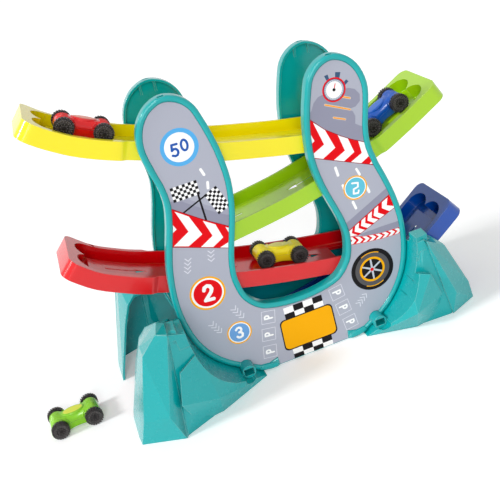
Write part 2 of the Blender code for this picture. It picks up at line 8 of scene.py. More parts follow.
import bmesh
import bpy
from mathutils import Matrix, Vector
from mathutils.geometry import delaunay_2d_cdt


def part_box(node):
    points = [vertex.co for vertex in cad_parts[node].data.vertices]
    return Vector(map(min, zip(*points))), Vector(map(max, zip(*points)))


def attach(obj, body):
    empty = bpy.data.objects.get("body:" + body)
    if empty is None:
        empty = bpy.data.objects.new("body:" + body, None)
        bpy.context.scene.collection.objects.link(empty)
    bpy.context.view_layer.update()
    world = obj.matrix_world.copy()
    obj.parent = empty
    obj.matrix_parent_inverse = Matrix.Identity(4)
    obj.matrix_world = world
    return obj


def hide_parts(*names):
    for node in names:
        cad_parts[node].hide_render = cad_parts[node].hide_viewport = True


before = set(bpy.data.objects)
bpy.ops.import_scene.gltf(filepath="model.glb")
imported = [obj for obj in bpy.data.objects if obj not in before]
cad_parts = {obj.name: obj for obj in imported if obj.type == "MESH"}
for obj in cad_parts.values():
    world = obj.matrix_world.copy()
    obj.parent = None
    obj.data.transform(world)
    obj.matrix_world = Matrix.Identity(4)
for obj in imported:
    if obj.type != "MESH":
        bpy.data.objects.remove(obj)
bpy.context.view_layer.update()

MM = 0.001
STAND_X = 47.72            # middle of the side panels in the set's frame

# Sizes shared with the solids
PANEL_SPAN = 88.6
PANEL_DEPTH = 10.2
PANEL_WALL = 2.4
PLATE_SINK = 1.8
PLATE_THICK = 2.4
RIM_WIDE = 6.0
RIM_CREST = 0.6
SHEET_THICK = 0.5
CLEAR = 0.3
RIGHT_TOP = 308.5
LEFT_TOP = 318.8
LEFT_WIDER = 3.2
SHOULDER = 100.0
FLAT_HALF = 41.0
TRACK_HEIGHT = 18.2
TRACK_WALL = 2.4
TRACK_WIDE = PANEL_SPAN - 2.0 * PANEL_DEPTH - 2.0 * CLEAR
FLARE = 3.3
FLOOR_DEEP = 9.0
GUTTER_DEEP = 14.6
STRIP_WIDE = 37.4
LOBE_R = 16.3
POCKET_END = 10.0
EXIT_LONG = 34.0
ARROW_TIPS = (86.0, 182.0, 276.0)
CORNER = 10.0
WHEEL_R = 9.6
WHEEL_WIDE = 7.2
WHEEL_BASE = 37.0
CAR_WIDE = 36.4
AXLE_R = 1.5
BORE_R = 1.9
DRUM_R = 8.7
CLIPS = (75.6, -76.7)
CLIP_Z = 14.4
CLIP_PROUD = 12.0
BOSS_R = 7.4
BOSS_CLEAR = 0.4
FOOT_CLEAR = 0.45

# Sizes of the relief that only this file adds
LOBE_X = 81.0              # middle of the right lobe, where its notch is
NOTCH_HALF = 3.4
RIB_HALF = 1.0
RIB_LONG = 15.0
SLOT_HALF = 5.3
SLOT_HIGH = 3.9
TRACK_STEP = 7.0           # between the rings of a ramp
FLARE_RUN = 8.0
PIN_R = 4.0
PIN_DEEP = 9.0
EXIT_STOP = 6.0            # wall past the exit hole
EXIT_HALF = 23.0
RIDGE_R = 10.9
HOOD_RIB_R = 0.55
STUD_R = 0.42

FACE = -PANEL_SPAN / 2.0   # y of the front panel's printed face

SET = Matrix.Scale(MM, 4) @ Matrix.Translation((STAND_X, 0.0, 0.0))
CARS = ("red", "blue", "yellow", "green")
FACES = (("front", 1.0), ("back", -1.0))


# Meshes

def placed(name, data):
    """Object at the origin that shows a mesh, a lamp or a camera."""
    obj = bpy.data.objects.new(name, data)
    bpy.context.scene.collection.objects.link(obj)
    return obj


def mesh_of(name, bm):
    mesh = bpy.data.meshes.new(name)
    bm.to_mesh(mesh)
    bm.free()
    return mesh


def drawn(name, bm, place=Matrix.Identity(4)):
    """Object at the origin from a closed mesh in millimetres."""
    bmesh.ops.remove_doubles(bm, verts=bm.verts, dist=0.002)
    bmesh.ops.recalc_face_normals(bm, faces=bm.faces)
    bm.transform(SET @ place)
    return placed(name, mesh_of(name, bm))


def baked(obj):
    """What an object's modifiers make, as a plain mesh."""
    graph = bpy.context.evaluated_depsgraph_get()
    graph.update()
    return bpy.data.meshes.new_from_object(obj.evaluated_get(graph))


def carve(obj, tools, operation="DIFFERENCE"):
    """Cuts or joins the tools and leaves a plain mesh."""
    for tool in tools:
        mod = obj.modifiers.new("step", "BOOLEAN")
        mod.operation = operation
        mod.solver = "EXACT"
        mod.object = tool
    mesh = baked(obj)
    obj.modifiers.clear()
    obj.data = mesh
    for tool in tools:
        bpy.data.objects.remove(tool)
    return obj


def smooth(obj, angle):
    for face in obj.data.polygons:
        face.use_smooth = True
    obj.data.set_sharp_from_angle(angle=math.radians(angle))
    return obj


def painted(obj, mat):
    obj.data.materials.append(mat)
    return obj


def join(name, objs):
    """One object from several, each with its own material slots kept."""
    bm = bmesh.new()
    mats = []
    for obj in objs:
        part = obj.data.copy()
        part.transform(obj.matrix_world)
        base = len(bm.faces)
        bm.from_mesh(part)
        bm.faces.ensure_lookup_table()
        index = []
        for mat in obj.data.materials:
            if mat not in mats:
                mats.append(mat)
            index.append(mats.index(mat))
        for face in bm.faces[base:]:
            face.material_index = index[min(face.material_index, len(index) - 1)]
        bpy.data.objects.remove(obj)
        bpy.data.meshes.remove(part)
    joined = placed(name, mesh_of(name, bm))
    for mat in mats:
        painted(joined, mat)
    return joined


def circle(sides, r=1.0, x=0.0, z=0.0):
    turns = [2 * math.pi * k / sides for k in range(sides)]
    return [(x + r * math.cos(a), z + r * math.sin(a)) for a in turns]


def stack(rings):
    """Closed skin over a run of rings that have the same number of points."""
    bm = bmesh.new()
    rows = [[bm.verts.new(p) for p in ring] for ring in rings]
    n = len(rows[0])
    for a, b in zip(rows, rows[1:]):
        for i in range(n):
            j = (i + 1) % n
            bm.faces.new((a[i], a[j], b[j], b[i]))
    bm.faces.new(list(reversed(rows[0])))
    bm.faces.new(rows[-1])
    return bm


def hull(points):
    bm = bmesh.new()
    for p in points:
        bm.verts.new(p)
    bmesh.ops.convex_hull(bm, input=bm.verts)
    bmesh.ops.delete(bm, geom=[v for v in bm.verts if not v.link_faces], context="VERTS")
    bmesh.ops.dissolve_limit(bm, angle_limit=math.radians(1.0), verts=bm.verts, edges=bm.edges)
    return bm


def cylinder(radius, p0, p1, sides):
    a, b = Vector(p0), Vector(p1)
    turn = (b - a).to_track_quat("Z", "Y").to_matrix().to_4x4()
    bm = bmesh.new()
    bmesh.ops.create_cone(bm, cap_ends=True, segments=sides, radius1=radius, radius2=radius,
                          depth=(b - a).length, matrix=Matrix.Translation((a + b) / 2.0) @ turn)
    return bm


def box_between(x0, x1, y0, y1, z0, z1):
    bm = bmesh.new()
    middle = Matrix.Translation(((x0 + x1) / 2.0, (y0 + y1) / 2.0, (z0 + z1) / 2.0))
    size = Matrix.Diagonal((abs(x1 - x0), abs(y1 - y0), abs(z1 - z0), 1.0))
    bmesh.ops.create_cube(bm, size=1.0, matrix=middle @ size)
    return bm


def lathe(profile, sides, y_sign):
    """Turns (radius, y) pairs about the Y axis and closes both ends."""
    return stack([[(x, y * y_sign, z) for x, z in circle(sides, r)] for r, y in profile])


def catmull(points, steps):
    """Smooth run through the points, with so many steps from one to the next."""
    run = []
    for i in range(len(points) - 1):
        four = points[max(i - 1, 0)], points[i], points[i + 1], points[min(i + 2, len(points) - 1)]
        for k in range(steps):
            t = k / steps
            run.append(tuple(0.5 * (2 * b + (c - a) * t + (2 * a - 5 * b + 4 * c - d) * t * t
                                    + (3 * b - a - 3 * c + d) * t ** 3) for a, b, c, d in zip(*four)))
    run.append(points[-1])
    return run


# Outline of the side panels

HALF = [(58, 0), (70, 7), (82, 14.5), (95, 25), (106, 38), (115, 53), (121.5, 70), (125.5, 90),
        (126.8, 110), (125.5, 130), (122, 150), (116.5, 170), (110, 190), (105.8, 210), (106.5, 228),
        (110.5, 247), (113.5, 266), (111.5, 281), (105.5, 294), (95, 304), (81, RIGHT_TOP), (66.5, 304),
        (55.5, 293), (49.5, 277), (45, 260), (41.8, 243), (40, 222), (40.7, 205), (44.5, 183),
        (50.5, 162), (57, 140), (59.8, 120), (57, 101), (51.5, 90), (42, 80.5), (30, 76), (15, 73.3)]


def left_point(x, z):
    grow = (LEFT_TOP - SHOULDER) / (RIGHT_TOP - SHOULDER)
    out = min(max((x - 60.0) / 50.0, 0.0), 1.0) * LEFT_WIDER * min(z / 40.0, 1.0)
    return (-(x + out), z if z < SHOULDER else SHOULDER + (z - SHOULDER) * grow)


def sag(pts, i, j):
    a, b = Vector(pts[i]), Vector(pts[j])
    along = (b - a).normalized()
    return max(abs((Vector(p) - a).cross(along)) for p in pts[i:j + 1])


def smooth_run(points, tolerance):
    """The smooth run with as few points as keep it within the tolerance."""
    dense = catmull(points, 8)
    kept = [0]
    while kept[-1] < len(dense) - 1:
        i = kept[-1]
        j = i + 1
        while j + 1 < len(dense) and sag(dense, i, j + 1) < tolerance:
            j += 1
        kept.append(j)
    return [dense[k] for k in kept]


def panel_outline(tolerance):
    left = [left_point(x, z) for x, z in reversed(HALF)]
    run = smooth_run(list(HALF) + [(0.0, 72.5)] + left, tolerance)
    lip = FLAT_HALF - 0.8
    return [(lip, 0.0), (FLAT_HALF, 0.0)] + run + [(-FLAT_HALF, 0.0), (-lip, 0.0)]


def inset(loop, distances):
    n = len(loop)
    area = sum(loop[i][0] * loop[(i + 1) % n][1] - loop[(i + 1) % n][0] * loop[i][1] for i in range(n))
    side = 1.0 if area > 0 else -1.0
    moved = []
    for i in range(n):
        a, b, c = Vector(loop[i - 1]), Vector(loop[i]), Vector(loop[(i + 1) % n])
        e, f = (b - a).normalized(), (c - b).normalized()
        ne, nf = Vector((-e.y, e.x)) * side, Vector((-f.y, f.x)) * side
        mid = (ne + nf).normalized()
        moved.append(tuple(b + mid * distances[i] / max(mid.dot(nf), 0.5)))
    return moved


OUTLINE = panel_outline(0.1)
RIM_SHARE = [0.12 if abs(x) < FLAT_HALF and z < 0.5 else 1.75 if abs(x) < FLAT_HALF + 0.5 and z < 0.5 else 1.0
             for x, z in OUTLINE]


def behind(y, mirror):
    """World y of a depth behind the printed face; mirror is 1 on the front panel and -1 on the back one."""
    return mirror * (FACE + y)


def turned(p, mirror):
    return (p[0], behind(p[1], mirror), p[2])


def ring_at(depth, y, mirror, share=True):
    pts = inset(OUTLINE, [depth * (s if share else 1.0) for s in RIM_SHARE])
    return [(x, behind(y, mirror), z) for x, z in pts]


def lip(side, mirror):
    """Rounded end of the rim beside the flat of the base."""
    points = []
    for x, z, r in ((44.4, 3.5, 3.3), (52.0, 3.7, 3.4), (60.0, 5.6, 3.2)):
        for k in range(12):
            a = 2.0 * math.pi * k / 12
            for share, y in ((1.0, 0.6), (0.86, 0.6 - 0.55 * r), (0.45, 0.6 - 0.9 * r),
                             (1.0, PLATE_SINK + 0.4)):
                points.append((side * (x + r * share * math.cos(a)), behind(y, mirror),
                               z + r * share * math.sin(a)))
    return hull(points)


def panel_shell(name, mirror):
    """Open tray with a crowned rim, notches, ribs and the two clip sockets."""
    bead = [(6.0, PLATE_SINK), (5.8, 0.95), (5.35, 0.35), (4.7, -0.1), (3.8, -0.45), (3.0, -RIM_CREST),
            (2.2, -0.5), (1.3, -0.2), (0.6, 0.25), (0.18, 0.8), (0.0, PLATE_SINK)]
    rings = [ring_at(d, y, mirror) for d, y in bead]
    rings += [ring_at(0.0, PANEL_DEPTH, mirror), ring_at(PANEL_WALL, PANEL_DEPTH, mirror, False),
              ring_at(PANEL_WALL, PLATE_SINK + PLATE_THICK, mirror, False)]
    for ring in rings[1:len(bead) - 1]:
        for i, s in enumerate(RIM_SHARE):
            if s < 1.0:
                ring[i] = (ring[i][0], behind(PLATE_SINK - 0.05, mirror), ring[i][2])
    obj = drawn(name, stack(rings))
    unions, cuts = [], []
    for x, top in ((LOBE_X, RIGHT_TOP), (left_point(LOBE_X, RIGHT_TOP)[0], LEFT_TOP)):
        cuts.append(box_between(x - NOTCH_HALF, x + NOTCH_HALF, behind(0.7, mirror), behind(5.2, mirror),
                                top - 2.0, top + 4.0))
        low = top - PANEL_WALL + 0.6
        for middle in (x - 7.5, x + 7.5):
            pair = (middle - RIB_HALF, middle + RIB_HALF)
            unions.append(hull([(u, behind(PLATE_SINK + PLATE_THICK - 0.5, mirror), z)
                                for u in pair for z in (low, low - RIB_LONG)]
                               + [(u, behind(PANEL_DEPTH - 1.0, mirror), low) for u in pair]))
    for x in CLIPS:
        unions.append(cylinder(BOSS_R, (x, behind(-CLIP_PROUD, mirror), CLIP_Z),
                               (x, behind(PANEL_DEPTH - 1.5, mirror), CLIP_Z), 40))
        cuts.append(box_between(x - SLOT_HALF, x + SLOT_HALF, behind(-CLIP_PROUD - 2.0, mirror),
                                behind(14.0, mirror), CLIP_Z - SLOT_HIGH, CLIP_Z + SLOT_HIGH))
        unions.append(lip(math.copysign(1.0, x), mirror))
    carve(obj, [drawn("add", bm) for bm in unions], "UNION")
    return carve(obj, [drawn("cut", bm) for bm in cuts])


# Tracks

class Path:
    """Smooth line in the XZ plane along the top edge of a track, from its high end face down."""

    def __init__(self, points, spacing):
        self.pts = [Vector(p) for p in smooth_run(points, 0.02)]
        self.length = sum((b - a).length for a, b in zip(self.pts, self.pts[1:]))
        self.spacing = spacing

    def at(self, s):
        if s <= 0.0:
            d = (self.pts[1] - self.pts[0]).normalized()
            return self.pts[0] + d * s, d
        for a, b in zip(self.pts, self.pts[1:]):
            step = (b - a).length
            if s <= step:
                d = (b - a).normalized()
                return a + d * s, d
            s -= step
        d = (self.pts[-1] - self.pts[-2]).normalized()
        return self.pts[-1] + d * s, d

    def stations(self, s0, s1):
        count = max(2, int(round((s1 - s0) / self.spacing)) + 1)
        return [s0 + (s1 - s0) * k / (count - 1) for k in range(count)]

    def reach_x(self, x):
        low, high = 0.0, self.length
        falling = self.pts[-1].x < self.pts[0].x
        for _ in range(40):
            mid = (low + high) / 2.0
            if (self.at(mid)[0].x > x) == falling:
                low = mid
            else:
                high = mid
        return low

    def place(self, s, y, n):
        p, _ = self.at(s)
        a, b = self.at(s - 3.0)[0], self.at(s + 3.0)[0]
        d = (b - a).normalized()
        up = Vector((-d.y, d.x)) if d.x > 0 else Vector((d.y, -d.x))
        q = p + up * n
        return (q.x, y, q.y)


def sweep(path, s_list, section):
    rings = []
    for s in s_list:
        sec = section(s) if callable(section) else section
        rings.append([path.place(s, y, n) for y, n in sec])
    return stack(rings)


def track_shell(name, path, neck_x, pin_x, open_end):
    """A ramp: channel, wheel pockets, arrow slots, hollow underside, exit and the pins that hold it."""
    half = TRACK_WIDE / 2.0
    inner, strip = half - TRACK_WALL, STRIP_WIDE / 2.0
    lobe_y = inner - 0.3 - LOBE_R
    start = LOBE_R + POCKET_END
    end = path.length
    neck = path.reach_x(neck_x)

    def bar(s):
        k = min(max((neck - s) / FLARE_RUN, 0.0), 1.0)
        w = half + FLARE * k * k * (3.0 - 2.0 * k)
        if s < CORNER:
            k = 1.0 - s / CORNER
            w -= CORNER * (1.0 - math.sqrt(1.0 - k * k))
        return [(-w, 0.0), (-w, -TRACK_HEIGHT), (w, -TRACK_HEIGHT), (w, 0.0)]

    round_end = [CORNER * (1.0 - math.cos(math.radians(a))) for a in range(0, 90, 9)]
    sides = round_end + path.stations(CORNER + 2.0, neck - FLARE_RUN)[:-1]
    sides += [neck - FLARE_RUN + k for k in range(0, 9)] + path.stations(neck, end)[1:]
    obj = drawn(name, sweep(path, sides, bar))
    r = 0.9     # round between a wall and its gutter
    channel = [(-inner, 6.0), (-inner, r - GUTTER_DEEP), (r - inner, -GUTTER_DEEP),
               (-strip - 0.01, -GUTTER_DEEP), (-strip, -FLOOR_DEEP), (strip, -FLOOR_DEEP),
               (strip + 0.01, -GUTTER_DEEP), (inner - r, -GUTTER_DEEP), (inner, r - GUTTER_DEEP),
               (inner, 6.0)]
    stop = end + 6.0 if open_end else end - 4.0
    tools = [sweep(path, path.stations(start, stop), channel)]
    ahead = path.at(start)[1]
    for side in (-1.0, 1.0):
        plan = [(1.0, LOBE_R), (1.0, -LOBE_R)]
        plan += [(-LOBE_R * math.sin(math.pi * k / 30.0), -LOBE_R * math.cos(math.pi * k / 30.0))
                 for k in range(1, 30)]
        rings = []
        for level in (-GUTTER_DEEP + 0.4, 10.0):
            base = Vector(path.place(start, side * lobe_y, level))
            rings.append([base + Vector((ahead.x * u, v, ahead.y * u)) for u, v in plan])
        tools.append(stack(rings))
    hollow = -16.4
    under = [(0.4 - inner, -TRACK_HEIGHT - 4.0), (inner - 0.4, -TRACK_HEIGHT - 4.0), (inner - 0.4, hollow),
             (strip - 2.2, hollow), (strip - 3.5, -FLOOR_DEEP - 0.9), (3.5 - strip, -FLOOR_DEEP - 0.9),
             (2.2 - strip, hollow), (0.4 - inner, hollow)]
    last = end - 10.0 if open_end else end - EXIT_LONG - 9.0
    tools.append(sweep(path, path.stations(start + 8.0, last), under))
    plan = [(-43, -1.3), (-12, -1.3), (-14, -4.8), (0, 0), (-14, 4.8), (-12, 1.3), (-43, 1.3)]
    for tip in ARROW_TIPS:
        tools.append(stack([[path.place(tip + u, v, n) for u, v in plan]
                            for n in (-TRACK_HEIGHT - 5.0, -FLOOR_DEEP + 4.0)]))
    if not open_end:
        tools.append(sweep(path, path.stations(end - EXIT_STOP - EXIT_LONG, end - EXIT_STOP),
                           [(-EXIT_HALF, -TRACK_HEIGHT - 5.0), (EXIT_HALF, -TRACK_HEIGHT - 5.0),
                            (EXIT_HALF, -6.0), (-EXIT_HALF, -6.0)]))
    carve(obj, [drawn("cut", bm) for bm in tools])
    pins = []
    for x in pin_x:
        s = path.reach_x(x)
        for side in (-1.0, 1.0):
            tip = side * (PANEL_SPAN / 2.0 - PLATE_SINK - PLATE_THICK - CLEAR)
            pins.append(cylinder(PIN_R, path.place(s, side * (half - 1.0), -PIN_DEEP),
                                 path.place(s, tip, -PIN_DEEP), 24))
    return carve(obj, [drawn("add", bm) for bm in pins], "UNION")


LINES = {
    "yellow": [(-204.3, 334.4), (-193.5, 324.5), (-180.7, 315), (-161.7, 303.2), (-132, 289.8), (-80, 270.7),
               (-40, 256.8), (0, 246.6), (38, 238), (96, 227)],
    "green": [(188.2, 246.4), (164.5, 233.7), (143.6, 222.9), (109.9, 207.3), (70, 193.5), (25.6, 182.5),
              (-8.8, 176.9), (-43.2, 172.6), (-98, 166)],
    "red": [(-209.6, 192.3), (-196.1, 178.9), (-184, 169), (-164.2, 158), (-144.1, 148.6), (-100, 132.4),
            (-57, 119), (-16, 108.6), (16, 101.9), (52, 95.2), (96, 88)],
    "blue": [(187.3, 113), (165.5, 96.8), (153.2, 88), (140, 79.4), (110, 62.5), (85, 53), (60, 46), (20, 37),
             (-30, 29.5), (-104, 22)]}
NECKS = {"yellow": (-121.0, (-84.0, 74.0)), "green": (110.0, (74.0, -85.0)), "red": (-133.0, (-94.0, 84.0)),
         "blue": (127.0, (94.0, -46.0))}


# Rock feet: the solids' own walls with raised crystals and engraved cracks on their outer faces

ROCKS = {
    "left": (CLIPS[1], [
        [(-175.8, -52.4, 101.6), (-158.5, -53.6, 119.4), (-147.4, -56.8, 116.8), (-195.9, -50.0, 29.0),
         (-170.5, -61.2, 31.0), (-204.8, -43.6, 0.2), (-161.2, -60.2, 0.2), (-176.0, -48.0, 100.0),
         (-158.0, -50.0, 117.5), (-148.0, -52.5, 114.0), (-194.0, -44.5, 27.0), (-169.5, -52.5, 27.5),
         (-201.0, -41.5, 0.3), (-161.0, -56.5, 0.3)],
        [(-147.4, -58.2, 73.4), (-124.4, -47.9, 82.3), (-89.6, -31.8, 23.6), (-117.6, -49.4, 23.0),
         (-155.8, -62.4, 40.0), (-116.6, -40.0, 0.4), (-143.0, -44.0, 0.3), (-62.9, -10.6, 0.8),
         (-146.5, -50.5, 70.0), (-124.8, -44.6, 80.0), (-88.0, -22.5, 16.0), (-117.0, -38.0, 15.0),
         (-154.0, -54.0, 36.0), (-117.0, -37.0, 0.5), (-143.0, -39.5, 0.5), (-64.0, -8.6, 1.2)]],
     [[(-149.4, -56.4, 107.0), (-141.6, -52.2, 105.4), (-140.1, -51.6, 93.5), (-127.0, -46.6, 91.2)]]),
    "right": (CLIPS[0], [
        [(132.5, -33.0, 62.2), (108.0, -40.4, 26.6), (144.2, -27.4, 30.4), (109.8, -28.4, 70.6),
         (84.0, -22.4, 17.4), (111.5, -24.4, 0.3), (137.4, -19.0, 0.3), (66.0, -10.5, 0.4),
         (133.0, -25.5, 58.0), (110.5, -28.0, 20.0), (144.0, -21.5, 27.0), (110.0, -24.5, 68.0),
         (84.0, -17.0, 14.0), (111.5, -21.5, 0.5), (136.5, -16.8, 0.5), (68.0, -8.5, 1.0)],
        [(135.6, -27.2, 98.6), (147.8, -13.6, 92.6), (165.8, -4.0, 72.6), (186.6, -6.6, 19.6),
         (188.4, -9.0, 0.3), (160.6, -28.2, 26.4), (154.6, -25.6, 0.3), (137.0, -21.5, 96.0),
         (147.0, -8.6, 90.0), (164.8, 0.6, 70.5), (185.4, -2.2, 18.6), (186.5, -5.2, 0.5),
         (161.0, -21.6, 24.0), (156.0, -20.5, 0.5)]],
     [[(115.4, -23.2, 78.2), (125.9, -23.0, 76.5), (129.1, -23.6, 86.9), (135.0, -24.2, 87.2)]])}


def crack(points, mirror):
    """Thin wedges that engrave one broken line on a rock face."""
    tools = []
    proud, deep = Vector((0.0, -6.0, 0.0)), Vector((0.0, 1.3, 0.0))
    for a, b in zip(points, points[1:]):
        a, b = Vector(a), Vector(b)
        along = (b - a).normalized() * 0.3
        across = Vector((0.0, 1.0, 0.0)).cross(along).normalized() * 0.65
        tools.append(hull([turned(q, mirror) for end in (a - along, b + along)
                           for q in (end + across + proud, end - across + proud, end + deep)]))
    return tools


def rock_foot(name, node, side, mirror):
    """The solid's walls with crystals joined on and cracks cut in, trimmed to the panel that it clips to."""
    clip_x, blocks, cracks = ROCKS[side]
    bm = bmesh.new()
    bm.from_mesh(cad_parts[node].data)
    bmesh.ops.remove_doubles(bm, verts=bm.verts, dist=0.000002)
    obj = placed(name, mesh_of(name, bm))
    carve(obj, [drawn("add", hull([turned(p, mirror) for p in block])) for block in blocks], "UNION")
    seat = inset(OUTLINE, [-FOOT_CLEAR] * len(OUTLINE))
    cuts = [stack([[(x, behind(y, mirror), z) for x, z in seat] for y in (-70.0, 40.0)]),
            cylinder(BOSS_R + BOSS_CLEAR, (clip_x, behind(-60.0, mirror), CLIP_Z),
                     (clip_x, behind(30.0, mirror), CLIP_Z), 40)]
    for line in cracks:
        cuts += crack(line, mirror)
    carve(obj, [drawn("cut", bm) for bm in cuts])
    obj.data.materials.clear()
    return smooth(obj, 9.0)


# Materials

def linear(code):
    """Linear colour of a #rrggbb code."""
    out = []
    for k in (1, 3, 5):
        c = int(code[k:k + 2], 16) / 255.0
        out.append(c / 12.92 if c <= 0.04045 else ((c + 0.055) / 1.055) ** 2.4)
    return (*out, 1.0)


def feed(tree, node, inputs):
    """Sets a node's inputs, each to a constant or from another node's output."""
    for label, value in inputs.items():
        if isinstance(value, bpy.types.NodeSocket):
            tree.links.new(value, node.inputs[label])
        else:
            node.inputs[label].default_value = value
    return node


def add_node(tree, kind, inputs, **settings):
    node = tree.nodes.new(kind)
    for key, value in settings.items():
        setattr(node, key, value)
    return feed(tree, node, inputs)


def group(name, kind, inputs, outputs):
    """Empty node group with its sockets, what it is given and its output node."""
    tree = bpy.data.node_groups.new(name, kind)
    for label, sort, value in inputs:
        item = tree.interface.new_socket(name=label, in_out="INPUT", socket_type="NodeSocket" + sort)
        if value is not None:
            item.default_value = value
    for label, sort in outputs:
        tree.interface.new_socket(name=label, in_out="OUTPUT", socket_type="NodeSocket" + sort)
    return tree, tree.nodes.new("NodeGroupInput").outputs, tree.nodes.new("NodeGroupOutput")


def math_node(tree, operation, a, b, clamp=False):
    return add_node(tree, "ShaderNodeMath", {0: a, 1: b}, operation=operation, use_clamp=clamp).outputs[0]


def noise_node(tree, vector, scale, detail, rough=0.55):
    return add_node(tree, "ShaderNodeTexNoise",
                    {"Vector": vector, "Scale": scale, "Detail": detail, "Roughness": rough}).outputs["Fac"]


def mix_colour(tree, factor, a, b):
    return add_node(tree, "ShaderNodeMix", {0: factor, 6: a, 7: b}, data_type="RGBA").outputs[2]


def make_moulded_surface():
    """Slow flow marks and a fine mould grain: colour, roughness and height of an injection-moulded skin."""
    tree, given, out = group(
        "moulded_surface", "ShaderNodeTree",
        (("Place", "Vector", None), ("Colour", "Color", (0.5, 0.5, 0.5, 1)), ("Flow", "Float", 0.06),
         ("Gloss loss", "Float", 0.3), ("Grain", "Float", 900.0)),
        (("Colour", "Color"), ("Roughness", "Float"), ("Height", "Float")))
    slow = noise_node(tree, given["Place"], 14.0, 4.0)
    fine = noise_node(tree, given["Place"], given["Grain"], 2.0)
    scuff = noise_node(tree, given["Place"], 160.0, 5.0, 0.65)
    shade = math_node(tree, "MULTIPLY", math_node(tree, "SUBTRACT", slow, 0.5), given["Flow"])
    bright = add_node(tree, "ShaderNodeHueSaturation",
                      {"Color": given["Colour"], "Value": math_node(tree, "ADD", shade, 1.0)})
    rough = math_node(tree, "MULTIPLY", math_node(tree, "SUBTRACT", scuff, 0.5), 0.16)
    feed(tree, out, {"Colour": bright.outputs[0],
                     "Roughness": math_node(tree, "ADD", rough, given["Gloss loss"], True),
                     "Height": math_node(tree, "ADD", math_node(tree, "MULTIPLY", fine, 0.12), slow)})
    return tree


def make_edge_wear_and_glint():
    """Painted edge highlight and wear: lightens a colour where the rounded normal leaves the true one, broken
    up by a fine noise; the lighter edges are partly rubbed wear and partly painted glint of light along
    rounded edges.
    """
    tree, given, out = group(
        "worn_glinting_edges", "ShaderNodeTree",
        (("Place", "Vector", None), ("Rounded", "Vector", None), ("Colour", "Color", (0.5, 0.5, 0.5, 1)),
         ("Light", "Color", (1, 1, 1, 1)), ("Amount", "Float", 0.3)),
        (("Colour", "Color"),))
    true_normal = tree.nodes.new("ShaderNodeNewGeometry").outputs["Normal"]
    dot = add_node(tree, "ShaderNodeVectorMath", {0: true_normal, 1: given["Rounded"]},
                   operation="DOT_PRODUCT")
    bend = math_node(tree, "MULTIPLY", math_node(tree, "SUBTRACT", 1.0, dot.outputs["Value"]), 5.0, True)
    broken = math_node(tree, "MULTIPLY", noise_node(tree, given["Place"], 220.0, 4.0), 1.5, True)
    # The mask lightens edges as a painted highlight along rounded edges, together with some rubbed wear.
    glint_and_wear_mask = math_node(tree, "MULTIPLY", math_node(tree, "MULTIPLY", bend, broken), given["Amount"], True)
    feed(tree, out, {"Colour": mix_colour(tree, glint_and_wear_mask, given["Colour"], given["Light"])})
    return tree


MOULDED = make_moulded_surface()
EDGE_WEAR_AND_GLINT = make_edge_wear_and_glint()


def new_material(name):
    """A material with its tree, its main shader and the object's own coordinates."""
    mat = bpy.data.materials.new(name)
    mat.use_nodes = True
    tree = mat.node_tree
    return mat, tree, tree.nodes["Principled BSDF"], tree.nodes.new("ShaderNodeTexCoord").outputs["Object"]


def plastic(name, code, light, gloss=0.3, flow=0.08, grain=900.0, radius=0.0006, glint_and_wear=0.35, coat=0.2,
            bump=0.00002, shine=0.4):
    """Moulded plastic with softened edges, lightened towards the light colour as painted edge highlight and
    wear; radius and bump are in metres.
    """
    mat, tree, shader, place = new_material(name)
    skin = add_node(tree, "ShaderNodeGroup", {"Place": place, "Colour": linear(code), "Flow": flow,
                                              "Gloss loss": gloss, "Grain": grain}, node_tree=MOULDED).outputs
    soft = add_node(tree, "ShaderNodeBevel", {"Radius": radius}, samples=4).outputs[0]
    # Edges lightened towards the light colour: a painted highlight along rounded edges, partly rubbed wear.
    edge_glint_and_wear = add_node(tree, "ShaderNodeGroup", {"Place": place, "Rounded": soft, "Colour": skin["Colour"],
                                              "Light": linear(light), "Amount": glint_and_wear}, node_tree=EDGE_WEAR_AND_GLINT)
    rise = add_node(tree, "ShaderNodeBump", {"Strength": 0.5, "Distance": bump, "Height": skin["Height"],
                                             "Normal": soft})
    feed(tree, shader, {"Base Color": edge_glint_and_wear.outputs["Colour"], "Roughness": skin["Roughness"],
                        "Normal": rise.outputs[0], "Coat Weight": coat, "Coat Roughness": 0.08,
                        "Specular IOR Level": shine, "IOR": 1.48})
    return mat


def ink(name, code):
    """Printed ink on the sheet: a fine screen in the colour and a faint paper tooth."""
    mat, tree, shader, place = new_material(name)
    skin = add_node(tree, "ShaderNodeGroup", {"Place": place, "Colour": linear(code), "Flow": 0.05,
                                              "Gloss loss": 0.55, "Grain": 2600.0}, node_tree=MOULDED).outputs
    rise = add_node(tree, "ShaderNodeBump", {"Strength": 0.3, "Distance": 0.00001, "Height": skin["Height"]})
    feed(tree, shader, {"Base Color": skin["Colour"], "Roughness": skin["Roughness"],
                        "Normal": rise.outputs[0], "Specular IOR Level": 0.12})
    return mat


# The second colour of each plastic is what its edges are lightened to: a painted edge highlight, partly wear.
TEAL = plastic("teal_plastic_skin", "#00A5A6", "#BDF0EA", 0.2, 0.05, radius=0.0008, glint_and_wear=0.6)
ROCK = plastic("rock_teal_skin", "#00A4A6", "#A6EAE3", 0.26, 0.07, 700.0, 0.0010, 0.7, 0.3, 0.00001)
TRACK_SKINS = {colour: plastic(colour + "_track_skin", code, light, 0.22, 0.05, glint_and_wear=0.5, coat=0.35,
                               shine=0.5)
               for colour, code, light in (("yellow", "#F7E600", "#FDF7B8"), ("green", "#A4D010", "#EAF6A4"),
                                           ("red", "#DC000C", "#F49A9E"), ("blue", "#0048A8", "#93B2E6"))}
CAR_SKINS = {colour: plastic(colour + "_car_skin", code, light, 0.2, 0.05, radius=0.0004, glint_and_wear=0.5)
             for colour, code, light in (("yellow", "#FAE31A", "#FFF6B4"), ("green", "#86CC16", "#DCF29A"),
                                         ("red", "#E60C14", "#F88C80"), ("blue", "#0A50B0", "#8CB0EA"))}
